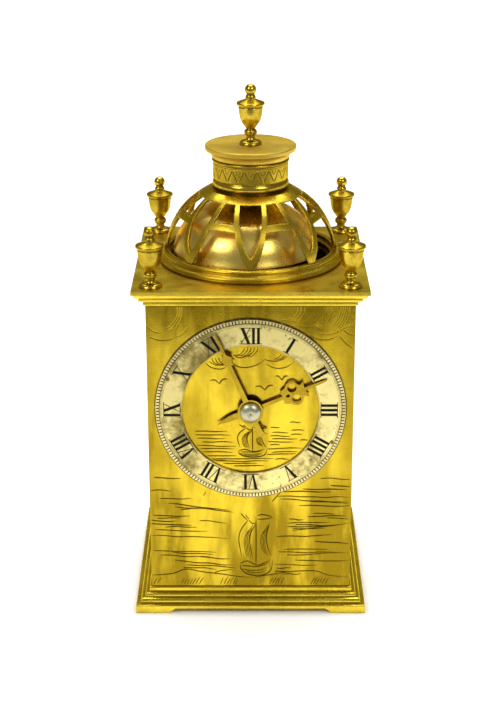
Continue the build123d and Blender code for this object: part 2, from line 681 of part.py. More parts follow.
with BuildPart() as cannon_pinion:
    gear(CENTRE, -50.0, -52.2, CANNON_TEETH, CANNON_MODULE, MOTION_DIR)
    discs(CENTRE, [(-49.0, -50.0, 3.4), (-52.2, MINUTE_HAND_Y[1], CANNON_PIPE_OUT)])
    discs(CENTRE, [(-49.0, MINUTE_HAND_Y[1], ARBOR_FRONT)], Mode.SUBTRACT)
save(cannon_pinion, "cannon_pinion")

with BuildPart() as minute_wheel:
    gear(MINUTE, -50.4, -51.6, MINUTE_TEETH, CANNON_MODULE, gap_at(MINUTE_TEETH, MOTION_DIR + 180))
    crossings(MINUTE, -50.4, -51.6, 3.4, 7.0, 3)
    gear(MINUTE, -51.6, -54.8, MINUTE_LEAVES, HOUR_MODULE, MOTION_DIR + 180)
    discs(MINUTE, [(-46.2, -50.4, 1.0), (-54.8, -56.2, 0.8)])
save(minute_wheel, "minute_wheel")

with BuildPart() as hour_wheel:
    gear(CENTRE, -53.4, -54.6, HOUR_TEETH, HOUR_MODULE, gap_at(HOUR_TEETH, MOTION_DIR))
    discs(CENTRE, [(-53.0, HOUR_HAND_Y[1] - 0.5, HOUR_PIPE_OUT)])
    discs(CENTRE, [(-53.0, -62.0, HOUR_PIPE_IN)], Mode.SUBTRACT)
save(hour_wheel, "hour_wheel")

# ---------------------------------------------------------------- movement frame
ARBOR_HOLES = [
    (CENTRE, 1.5),
    (BARREL, 2.5),
    (THIRD, 0.7),
    (FOURTH, 0.7),
    (ESCAPE, 0.6),
    (LEVER, 0.6),
    (BALANCE, 0.6),
    (HAMMER, 1.2),
    (MINUTE, 1.0),
]
BALANCE_HOLE = 1.6         # the balance staff passes the back plate freely

for label, depth in (("front_movement_plate", PLATE_FRONT), ("back_movement_plate", PLATE_BACK)):
    with BuildPart() as movement_plate:
        with BuildSketch(frontal(0, (PLATE_LOW + PLATE_HIGH) / 2, depth[0])):
            RectangleRounded(2 * PLATE_HALF, PLATE_HIGH - PLATE_LOW, 5)
            for pillar_z in PILLAR_Z:
                with Locations(
                    (-PILLAR_X, pillar_z - (PLATE_LOW + PLATE_HIGH) / 2),
                    (PILLAR_X, pillar_z - (PLATE_LOW + PLATE_HIGH) / 2),
                ):
                    Circle(1.5 if label == "back_movement_plate" else 3.0, mode=Mode.SUBTRACT)
        extrude(amount=depth[0] - depth[1])
        for centre, radius in ARBOR_HOLES:
            hole = radius + RUNNING
            if centre == MINUTE and label == "back_movement_plate":
                continue
            if centre == BALANCE and label == "back_movement_plate":
                hole = BALANCE_HOLE
            discs(centre, [(depth[0], depth[1], hole)], Mode.SUBTRACT)
    save(movement_plate, label)

with BuildPart() as movement_pillars:
    for pillar_z in PILLAR_Z:
        for pillar_x in (-PILLAR_X, PILLAR_X):
            discs(
                (pillar_x, pillar_z),
                [
                    (PLATE_BACK[0] + 3, PLATE_BACK[1], 1.5),
                    (PLATE_BACK[1], PLATE_FRONT[0], 3.6),
                    (PLATE_FRONT[0], FACE_Y + SHEET, 3.0),
                    (FACE_Y + SHEET, FACE_Y + 0.6, 1.5),
                ],
            )
save(movement_pillars, "movement_pillars")

with BuildPart() as pillar_nuts:
    for pillar_z in PILLAR_Z:
        for pillar_x in (-PILLAR_X, PILLAR_X):
            with BuildSketch(frontal(pillar_x, pillar_z, PLATE_BACK[0] + 2.4)):
                RegularPolygon(3.2, 6)
                Circle(1.5, mode=Mode.SUBTRACT)
            extrude(amount=2.4)
save(pillar_nuts, "pillar_nuts")

COCK_BACK = -2.6
with BuildPart() as balance_cock:
    cock_foot = along(BALANCE, 60, 14.5)
    with BuildSketch(frontal(0, 0, COCK_BACK)):
        with BuildLine():
            Line(BALANCE, cock_foot)
        trace(line_width=6.5)
        with Locations(BALANCE):
            Circle(4.0)
        with Locations(cock_foot):
            Circle(3.6)
        with Locations(BALANCE):
            Circle(0.6 + RUNNING, mode=Mode.SUBTRACT)
    extrude(amount=2.0)
    discs(cock_foot, [(COCK_BACK - 2.0, PLATE_BACK[0], 3.4)])
    discs(cock_foot, [(COCK_BACK + 1.2, COCK_BACK, 2.4)])
save(balance_cock, "balance_cock")

# ---------------------------------------------------------------- power: barrel and winding
BARREL_RADIUS = 18.6
BARREL_FRONT = -42.4
BARREL_BACK = -23.0
with BuildPart() as barrel:
    gear(BARREL, BARREL_FRONT, BARREL_FRONT - 2.0, GREAT_TEETH, GREAT_MODULE, BARREL_DIR + 180)
    discs(BARREL, [(BARREL_BACK, BARREL_FRONT, BARREL_RADIUS)])
    discs(BARREL, [(BARREL_BACK, BARREL_FRONT + 0.4, BARREL_RADIUS - 1.2)], Mode.SUBTRACT)
    discs(BARREL, [(BARREL_BACK, BARREL_FRONT - 2.0, 2.5 + RUNNING)], Mode.SUBTRACT)
    discs(BARREL, [(BARREL_BACK + 1.2, BARREL_BACK, BARREL_RADIUS)])
    discs(BARREL, [(BARREL_BACK + 1.2, BARREL_BACK, 4.0 + RUNNING)], Mode.SUBTRACT)
save(barrel, "barrel")


def spiral_points(inner, outer, turns, per_turn):
    points = []
    for step in range(turns * per_turn + 1):
        part_way = step / (turns * per_turn)
        radius = inner + (outer - inner) * part_way
        turn = 2 * pi * turns * part_way
        points.append((radius * cos(turn), radius * sin(turn)))
    return points


def flat_spiral(centre, back, front, inner, outer, turns, per_turn, thick):
    """Spring strip wound as a flat spiral."""
    strip = spiral_points(inner, outer, turns, per_turn)
    strip += list(reversed(spiral_points(inner + thick, outer + thick, turns, per_turn)))
    with BuildSketch(frontal(centre[0], centre[1], back)) as shape:
        polygon(strip)
    extrude(shape.sketch, amount=back - front)


with BuildPart() as mainspring:
    flat_spiral(BARREL, BARREL_BACK - 1.0, BARREL_FRONT + 1.4, 6.6, 16.6, 6, 18, 0.5)
save(mainspring, "mainspring")

SQUARE = 3.6
with BuildPart() as barrel_arbor:
    discs(
        BARREL,
        [
            (PLATE_BACK[0], PLATE_BACK[1], 2.5),
            (PLATE_BACK[1], BARREL_BACK + 1.2, 4.0),
            (BARREL_BACK + 1.2, BARREL_BACK, 4.0),
            (BARREL_BACK, BARREL_FRONT + 0.4, 6.0),
            (BARREL_FRONT + 0.4, PLATE_FRONT[1], 2.5),
        ],
    )
    with BuildSketch(frontal(BARREL[0], BARREL[1], 1.0)):
        Rectangle(SQUARE, SQUARE)
    extrude(amount=1.0 - PLATE_BACK[0])
save(barrel_arbor, "barrel_arbor")


def ratchet_outline(teeth, root, tip):
    points = []
    for tooth in range(teeth):
        start = tooth * 2 * pi / teeth
        points.append((root * cos(start), root * sin(start)))
        points.append((tip * cos(start), tip * sin(start)))
    return points


with BuildPart() as ratchet_wheel:
    with BuildSketch(frontal(BARREL[0], BARREL[1], -9.6)):
        polygon(ratchet_outline(RATCHET_TEETH, 7.7, 9.0))
        Rectangle(SQUARE, SQUARE, mode=Mode.SUBTRACT)
    extrude(amount=2.0)
save(ratchet_wheel, "ratchet_wheel")

with BuildPart() as click:
    with BuildSketch(frontal(CLICK[0], CLICK[1], -9.8)):
        Circle(2.2)
        polygon([(-2.0, 0.6), (-1.0, -1.8), (0.2, -8.2), (1.0, -8.1), (2.0, 0.6)])
    extrude(amount=1.6)
    discs(CLICK, [(-9.8, -11.4, 1.4), (-9.2, -9.8, 1.6)])
save(click, "click")

KEY_MOUTH = -8.9
with BuildPart() as winding_key:
    discs(BARREL, [(9.0, KEY_MOUTH, 4.2)])
    with BuildSketch(frontal(BARREL[0], BARREL[1], 1.6)):
        Rectangle(SQUARE + 0.2, SQUARE + 0.2)
    extrude(amount=1.6 - KEY_MOUTH, mode=Mode.SUBTRACT)
    with BuildSketch(Plane(origin=(0, 0, BARREL[1] - 1.2), x_dir=(1, 0, 0), z_dir=(0, 0, 1))):
        with Locations((-7.2, 15.5), (7.2, 15.5)):
            Ellipse(8.0, 6.2)
        with Locations((0, 12.5)):
            Rectangle(6, 9)
        with Locations((-8.6, 15.8), (8.6, 15.8)):
            Circle(2.4, mode=Mode.SUBTRACT)
    extrude(amount=2.4)
save(winding_key, "winding_key")

# ---------------------------------------------------------------- going train
with BuildPart() as centre_wheel:
    gear(CENTRE, -41.4, -45.4, CENTRE_LEAVES, GREAT_MODULE, gap_at(CENTRE_LEAVES, BARREL_DIR))
    gear(CENTRE, -18.6, -20.0, CENTRE_TEETH, CENTRE_MODULE, THIRD_DIR)
    crossings(CENTRE, -18.6, -20.0, 4.2, 14.0, 4)
    discs(
        CENTRE,
        [
            (-4.0, PLATE_BACK[0], 1.5),
            (PLATE_BACK[0], PLATE_BACK[1], 1.5),
            (PLATE_BACK[1], -41.4, 2.2),
            (-45.4, PLATE_FRONT[1] - 1.0, 1.5),
            (PLATE_FRONT[1] - 1.0, -65.7, ARBOR_FRONT),
        ],
    )
save(centre_wheel, "centre_wheel")

with BuildPart() as strike_cam:
    with BuildSketch(frontal(CENTRE[0], CENTRE[1], -36.0)):
        cam = []
        for step in range(37):
            turn = radians(step * 10)
            radius = 2.9 + 1.6 * step / 36
            cam.append((radius * cos(turn), radius * sin(turn)))
        polygon(cam)
        Circle(2.2, mode=Mode.SUBTRACT)
    extrude(amount=2.0)
save(strike_cam, "strike_cam")

with BuildPart() as hand_set_knob:
    discs(CENTRE, [(-3.0, -9.0, 6.0), (-9.0, -10.5, 3.5)])
    with BuildSketch(frontal(CENTRE[0], CENTRE[1], -3.0)):
        with PolarLocations(6.1, 24):
            Circle(0.45)
    extrude(amount=6, mode=Mode.SUBTRACT)
    discs(CENTRE, [(-4.0, -10.5, 1.5)], Mode.SUBTRACT)
save(hand_set_knob, "hand_set_knob")


def arbor(centre, pivot, body):
    """A wheel arbor between the movement plates, with a thinner pivot in each plate."""
    discs(centre, [(PLATE_BACK[0], PLATE_BACK[1] - 0.5, pivot)])
    discs(centre, [(PLATE_BACK[1] - 0.5, PLATE_FRONT[0] + 0.5, body)])
    discs(centre, [(PLATE_FRONT[0] + 0.5, PLATE_FRONT[1], pivot)])


with BuildPart() as third_wheel:
    gear(THIRD, -17.4, -21.0, THIRD_LEAVES, CENTRE_MODULE, gap_at(THIRD_LEAVES, THIRD_DIR + 180))
    gear(THIRD, -32.8, -34.0, THIRD_TEETH, THIRD_MODULE, FOURTH_DIR)
    crossings(THIRD, -32.8, -34.0, 3.4, 11.7, 4)
    arbor(THIRD, 0.7, 1.2)
save(third_wheel, "third_wheel")

with BuildPart() as fourth_wheel:
    gear(FOURTH, -31.6, -35.2, FOURTH_LEAVES, THIRD_MODULE, gap_at(FOURTH_LEAVES, FOURTH_DIR + 180))
    gear(FOURTH, -27.0, -28.0, FOURTH_TEETH, FOURTH_MODULE, ESCAPE_DIR)
    crossings(FOURTH, -27.0, -28.0, 3.2, 11.2, 4)
    arbor(FOURTH, 0.7, 1.1)
save(fourth_wheel, "fourth_wheel")

ESCAPE_TIP = 5.4
with BuildPart() as escape_wheel:
    gear(ESCAPE, -25.8, -29.2, ESCAPE_LEAVES, FOURTH_MODULE, gap_at(ESCAPE_LEAVES, ESCAPE_DIR + 180))
    with BuildSketch(frontal(ESCAPE[0], ESCAPE[1], -16.8)):
        club = []
        for tooth in range(ESCAPE_TEETH):
            start = tooth * 2 * pi / ESCAPE_TEETH
            club.append((4.0 * cos(start), 4.0 * sin(start)))
            club.append((ESCAPE_TIP * cos(start + 0.16), ESCAPE_TIP * sin(start + 0.16)))
            club.append((5.2 * cos(start + 0.27), 5.2 * sin(start + 0.27)))
            club.append((4.0 * cos(start + 0.2), 4.0 * sin(start + 0.2)))
        polygon(club)
    extrude(amount=1.0)
    arbor(ESCAPE, 0.6, 0.8)
save(escape_wheel, "escape_wheel")

with BuildPart() as pallet_lever:
    with BuildSketch(turned(LEVER, -16.8, -LEVER_DIR)):
        Circle(1.5)
        for side in (-1, 1):
            polygon(
                [
                    (-0.6, side * 0.4),
                    (0.8, side * 1.0),
                    (-1.4, side * 4.9),
                    (-2.8, side * 4.6),
                    (-2.2, side * 3.4),
                    (-1.7, side * 3.2),
                ]
            )
        polygon([(0.8, -0.5), (0.8, 0.5), (5.6, 0.45), (5.6, -0.45)])
        for side in (-1, 1):
            horn = [(5.2, 0), (6.0, 0), (6.0, 0.25), (6.9, 0.5), (6.9, 1.3), (5.2, 0.45)]
            polygon([(u, side * v) for u, v in horn])
    extrude(amount=1.0)
    arbor(LEVER, 0.6, 0.9)
save(pallet_lever, "pallet_lever")

BALANCE_RIM = 9.0
with BuildPart() as balance_wheel:
    with BuildSketch(frontal(BALANCE[0], BALANCE[1], -8.0)):
        Circle(BALANCE_RIM)
        Circle(BALANCE_RIM - 1.3, mode=Mode.SUBTRACT)
        Circle(1.8)
        Rectangle(2 * BALANCE_RIM - 1.5, 1.5)
    extrude(amount=1.4)
    discs(BALANCE, [(COCK_BACK, COCK_BACK - 2.2, 0.6), (COCK_BACK - 2.2, -14.6, 1.0)])
    discs(BALANCE, [(-14.6, -15.6, 2.2), (-15.6, PLATE_FRONT[0] + 0.5, 0.85)])
    discs(BALANCE, [(PLATE_FRONT[0] + 0.5, PLATE_FRONT[1], 0.6)])
save(balance_wheel, "balance_wheel")

with BuildPart() as hairspring:
    flat_spiral(BALANCE, -6.0, -6.6, 1.3, 5.8, 6, 18, 0.12)
save(hairspring, "hairspring")

# ---------------------------------------------------------------- passing strike
HAMMER_Y = -18.0
with BuildPart() as hammer:
    discs(HAMMER, [(PLATE_BACK[0], PLATE_BACK[1], 1.2), (PLATE_BACK[1], PLATE_FRONT[0], 1.8)])
    discs(HAMMER, [(PLATE_FRONT[0], PLATE_FRONT[1], 1.2)])
    with BuildSketch(frontal(0, 0, HAMMER_Y + 1.2)):
        with BuildLine():
            Line(HAMMER, HAMMER_HEAD)
        trace(line_width=2.4)
        with Locations(HAMMER):
            Circle(3.0)
    extrude(amount=2.4)
    with BuildSketch(frontal(0, 0, -36.2)):
        with BuildLine():
            Line(HAMMER, HAMMER_TAIL)
        trace(line_width=1.8)
        with Locations(HAMMER):
            Circle(2.8)
    extrude(amount=1.6)
    with Locations(Location((HAMMER_HEAD[0], HAMMER_Y, HAMMER_HEAD[1]), (0, 90, 32.9))):
        Cylinder(3.4, 7.0)
save(hammer, "hammer")

# ---------------------------------------------------------------- back door
DOOR_HALF = 56.1
DOOR_LOW = CASE_BOTTOM + 0.4
DOOR_HIGH = CASE_TOP - 0.4
HINGE_X = -60.2
HINGE_Y = 60.0
HINGE_HEIGHTS = (45.0, 157.0)
KNUCKLE = 1.4
LATCH = (46.0, 100.0)
LATCH_FRONT = 48.0          # front end of the latch, inside the corner post
with BuildPart() as back_door:
    with BuildSketch(frontal(0, (DOOR_LOW + DOOR_HIGH) / 2, CASE_HALF)):
        Rectangle(2 * DOOR_HALF, DOOR_HIGH - DOOR_LOW)
    extrude(amount=SHEET)
    discs(LATCH, [(CASE_HALF, CASE_HALF - SHEET, 1.5 + RUNNING)], Mode.SUBTRACT)
save(back_door, "back_door")

with BuildPart() as case_hinges:
    for height in HINGE_HEIGHTS:
        for low in (height - 9.0, height + 3.2):
            with BuildSketch(Plane.XY.offset(low)):
                with Locations((HINGE_X, HINGE_Y)):
                    Circle(KNUCKLE)
                    Circle(0.7, mode=Mode.SUBTRACT)
                with Locations((-58.9, 51.0)):
                    Rectangle(0.8, 15.0)
                polygon([(-59.3, 57.0), (-58.5, 57.0), (-58.5, 58.0), (-59.4, 59.1)])
            extrude(amount=5.8)
        with BuildSketch(Plane.XY.offset(height - 9.0)):
            with Locations((-58.9, 50.0)):
                Rectangle(0.8, 13.0)
        extrude(amount=18.0)
        with BuildSketch(Plane.XY.offset(height - 9.0)):
            with Locations((HINGE_X, HINGE_Y)):
                Circle(0.7)
        extrude(amount=18.0)
save(case_hinges, "case_hinges")

with BuildPart() as door_hinges:
    for height in HINGE_HEIGHTS:
        with BuildSketch(Plane.XY.offset(height - 2.9)):
            with Locations((HINGE_X, HINGE_Y)):
                Circle(KNUCKLE)
            with Locations((-53.0, CASE_HALF + 0.4)):
                Rectangle(14.0, 0.8)
            polygon([(-60.2, 58.62), (-52.0, 58.62), (-52.0, 59.3), (-60.2, 59.3)])
            with Locations((HINGE_X, HINGE_Y)):
                Circle(0.75, mode=Mode.SUBTRACT)
        extrude(amount=5.8)
        with BuildSketch(Plane.XY.offset(height - 9.0)):
            with Locations((-50.0, CASE_HALF + 0.4)):
                Rectangle(8.0, 0.8)
        extrude(amount=18.0)
save(door_hinges, "door_hinges")

with BuildPart() as door_latch:
    discs(LATCH, [(CASE_HALF + 5.6, CASE_HALF + 2.6, 4.6), (CASE_HALF + 2.6, CASE_HALF + 0.3, 2.6)])
    discs(LATCH, [(CASE_HALF + 0.3, LATCH_FRONT, 1.5)])
    with BuildSketch(frontal(LATCH[0], LATCH[1], LATCH_FRONT + 1.6)):
        with Locations((0, 3.4)):
            Rectangle(4.0, 10.0)
    extrude(amount=1.6)
save(door_latch, "door_latch")
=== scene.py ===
import json
import math
import random

import bpy
import numpy as np
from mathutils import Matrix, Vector
from mathutils.geometry import delaunay_2d_cdt


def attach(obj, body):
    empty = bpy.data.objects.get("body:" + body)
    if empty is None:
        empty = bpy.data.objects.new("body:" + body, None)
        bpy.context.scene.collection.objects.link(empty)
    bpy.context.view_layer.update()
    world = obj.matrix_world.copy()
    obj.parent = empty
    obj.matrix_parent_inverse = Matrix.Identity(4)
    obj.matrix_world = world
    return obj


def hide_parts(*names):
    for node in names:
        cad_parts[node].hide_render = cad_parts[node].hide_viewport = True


# Ships deck clock: procedural metals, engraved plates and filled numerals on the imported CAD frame.

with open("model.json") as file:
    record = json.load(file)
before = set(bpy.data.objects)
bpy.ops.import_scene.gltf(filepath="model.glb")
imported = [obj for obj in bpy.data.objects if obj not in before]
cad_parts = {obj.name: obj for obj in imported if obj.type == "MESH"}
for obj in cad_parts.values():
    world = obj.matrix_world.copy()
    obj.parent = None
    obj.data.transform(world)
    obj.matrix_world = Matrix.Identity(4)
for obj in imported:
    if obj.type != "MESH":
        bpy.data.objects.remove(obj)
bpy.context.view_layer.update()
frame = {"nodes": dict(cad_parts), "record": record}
nodes = frame["nodes"]

MM = 0.001
DIAL_Z = 126.2
FACE_Y = -58.5
CASE_HALF = 58.5
CASE_BOTTOM = 13.4
CASE_TOP = 188.2
random.seed(7)


# ---------------------------------------------------------------- mesh helpers
def new_mesh(name, points_mm, faces, smooth=False):
    mesh = bpy.data.meshes.new(name)
    mesh.from_pydata([(x * MM, y * MM, z * MM) for x, y, z in points_mm], [], faces)
    mesh.validate()
    mesh.update()
    if smooth:
        mesh.shade_smooth()
    obj = bpy.data.objects.new(name, mesh)
    bpy.context.scene.collection.objects.link(obj)
    return obj


def paint(obj, material):
    obj.data.materials.clear()
    obj.data.materials.append(material)


# ---------------------------------------------------------------- engraving
def smooth_line(points, step=1.2):
    """Catmull-Rom curve through control points, sampled about every step millimetres."""
    if len(points) == 2:
        count = max(5, int(math.dist(*points) / step))
        first = np.array(points[0])
        return [tuple(first + (np.array(points[1]) - points[0]) * i / count) for i in range(count + 1)]
    ends = [points[0]] + list(points) + [points[-1]]
    line = []
    for i in range(1, len(ends) - 2):
        p0, p1, p2, p3 = (np.array(ends[i + k - 1], float) for k in range(4))
        count = max(2, int(np.linalg.norm(p2 - p1) / step) + 1)
        for j in range(count):
            t = j / count
            line.append(tuple(
                0.5 * (2 * p1 + (p2 - p0) * t + (2 * p0 - 5 * p1 + 4 * p2 - p3) * t ** 2
                       + (3 * p1 - p0 - 3 * p2 + p3) * t ** 3)
            ))
    line.append(tuple(map(float, points[-1])))
    return line


class Engraving:
    """V-shaped cuts laid out on a flat sheet and triangulated with their centre lines sunk."""

    def __init__(self, low, high, clip=None, bold=1.0):
        self.low, self.high, self.clip, self.bold = low, high, clip, bold
        self.cuts = []

    def cut(self, width, *points, taper=True, tone=1.0):
        width *= self.bold
        line = smooth_line(points)
        kept = []
        for p in line:
            inside = all(self.low[k] + 0.4 < p[k] < self.high[k] - 0.4 for k in (0, 1))
            if inside and (self.clip is None or self.clip(p)):
                kept.append(p)
            elif len(kept) > 1:
                self.add(kept, width, taper, tone)
                kept = []
            else:
                kept = []
        if len(kept) > 1:
            self.add(kept, width, taper, tone)

    def add(self, line, width, taper, tone):
        length = len(line) - 1
        halves = []
        for i in range(len(line)):
            way = i / length
            swell = min(1.0, 0.4 + 4.0 * way, 0.25 + 2.6 * (1 - way)) if taper else 1.0
            halves.append(0.5 * width * swell)
        self.cuts.append((np.array(line), np.array(halves), tone))

    def sheet(self, depth, extra_lines=()):
        """Points (u, v), their sunk depth, their groove value and triangles."""
        coords, edges = [], []

        def chain(points, closed=False):
            start = len(coords)
            coords.extend(Vector(p) for p in points)
            edges.extend((start + i, start + i + 1) for i in range(len(points) - 1))
            if closed:
                edges.append((start + len(points) - 1, start))

        (u0, v0), (u1, v1) = self.low, self.high
        chain([(u0, v0), (u1, v0), (u1, v1), (u0, v1)], True)
        for line in extra_lines:
            chain(line)
        for line, halves, _ in self.cuts:
            along = np.gradient(line, axis=0)
            along /= np.maximum(np.linalg.norm(along, axis=1), 1e-9)[:, None]
            side = np.stack([-along[:, 1], along[:, 0]], 1) * halves[:, None]
            chain([tuple(p) for p in line])
            chain([tuple(p) for p in line + side] + [tuple(p) for p in (line - side)[::-1]], True)
        out, _, faces, _, _, _ = delaunay_2d_cdt(coords, edges, [], 0, 1e-5)
        flat = np.array([(p.x, p.y) for p in out])
        groove = np.zeros(len(flat))
        sink = np.zeros(len(flat))
        for line, halves, tone in self.cuts:
            reach = halves.max() + 0.01
            low = line.min(0) - reach
            high = line.max(0) + reach
            near = np.where(((flat >= low) & (flat <= high)).all(1))[0]
            if not len(near):
                continue
            a, b = line[:-1], line[1:]
            ab = b - a
            size = np.maximum((ab ** 2).sum(1), 1e-12)
            p = flat[near][:, None, :]
            t = np.clip(((p - a[None]) * ab[None]).sum(2) / size[None], 0, 1)
            gap = np.linalg.norm(p - (a[None] + t[..., None] * ab[None]), axis=2)
            best = gap.argmin(1)
            rows = np.arange(len(near))
            way = best + t[rows, best]
            fade = np.clip(np.minimum(way, len(a) - way) / 0.8, 0, 1)
            half = halves[:-1][best] * (1 - t[rows, best]) + halves[1:][best] * t[rows, best]
            inside = fade * np.clip(1 - gap[rows, best] / np.maximum(half, 1e-4), 0, 1)
            groove[near] = np.maximum(groove[near], inside * tone)
            sink[near] = np.maximum(sink[near], inside * half * 0.9)
        return flat, np.minimum(sink, depth), groove, [tuple(f) for f in faces]


def groove_mesh(name, flat, groove, faces, place):
    """Mesh whose points come from place(index) and which carries the groove value."""
    obj = new_mesh(name, [place(i) for i in range(len(flat))], faces)
    layer = obj.data.attributes.new("groove", "FLOAT", "POINT")
    layer.data.foreach_set("value", groove.astype(np.float32))
    return obj


# ---------------------------------------------------------------- dial plate drawing
def jitter(amount):
    return random.uniform(-amount, amount)


def water(art, x0, x1, z0, z1, width=0.5, sway=0.5):
    """One long, slightly waving horizontal cut."""
    count = max(3, int(abs(x1 - x0) / 7))
    points = []
    for i in range(count + 1):
        way = i / count
        points.append((x0 + (x1 - x0) * way, z0 + (z1 - z0) * way + jitter(sway)))
    art.cut(width, *points)


def gull(art, x, z, span, lean=0.0):
    art.cut(0.5, (x - span, z + 1.3 + lean), (x - 0.5 * span, z + 1.7 + lean), (x + 0.2, z - 0.8))
    art.cut(0.7, (x - 0.2, z - 0.8), (x + 0.35 * span, z + 2.0), (x + 0.9 * span, z + 2.2 - lean))


def boat(art, x, z, size, wide=1.0):
    """A small two-sail boat standing on (x, z); size 1 is about 40 mm tall."""
    def cut(width, *points):
        art.cut(width, *[(x + size * wide * px, z + size * pz) for px, pz in points])

    cut(0.66, (-6.6, 7.3), (-6.2, 4.2), (-3.4, 0.8), (2.0, -0.6), (7.0, 0.4), (9.8, 3.8), (10.6, 9.8))
    cut(0.55, (-6.6, 7.3), (-2.6, 9.0), (2.8, 6.2), (9.6, 9.8))
    cut(0.5, (-5.6, 6.0), (-1.0, 5.6), (3.0, 5.4), (8.6, 7.6))
    cut(0.45, (-5.6, 3.8), (-1.0, 2.8), (3.6, 3.0), (8.4, 4.8))
    cut(0.4, (-3.8, 2.2), (0.6, 1.2), (4.6, 1.6), (7.6, 3.0))
    cut(0.66, (1.8, 6.2), (1.8, 22.0), (1.8, 38.6))
    cut(0.62, (-2.2, 35.8), (-6.0, 29.5), (-7.2, 22.5), (-5.6, 11.5))
    cut(0.5, (-2.2, 35.8), (0.2, 33.2), (1.8, 34.2))
    for shade in range(4):
        low, high = 9.4 + 0.7 * shade, 33.0 - 1.3 * shade
        cut(0.42, (0.2 - 0.75 * shade, high), (-2.0 - 0.78 * shade, 23.0),
            (-1.6 - 0.72 * shade, 15.0), (-0.6 - 0.6 * shade, low))
    cut(0.55, (1.6, 33.0), (-0.9, 27.0), (-1.4, 20.0), (0.2, 9.6))
    for shade in range(4):
        low, high = 11.4 + 0.7 * shade, 33.4 - 1.4 * shade
        cut(0.42, (8.2 - 0.7 * shade, high), (6.5 - 0.74 * shade, 24.0),
            (6.7 - 0.66 * shade, 17.0), (8.6 - 0.6 * shade, low))
    cut(0.55, (8.8, 34.2), (7.2, 24.5), (8.0, 17.6), (10.4, 10.8))
    cut(0.55, (2.3, 38.6), (5.9, 39.2), (10.8, 37.3))
    cut(0.5, (2.3, 36.2), (6.5, 36.4), (10.8, 37.3))
    cut(0.55, (-6.2, 40.2), (-4.4, 37.6), (-2.6, 35.8))
    cut(0.45, (-3.8, 39.6), (-2.8, 37.6), (-1.6, 36.0))


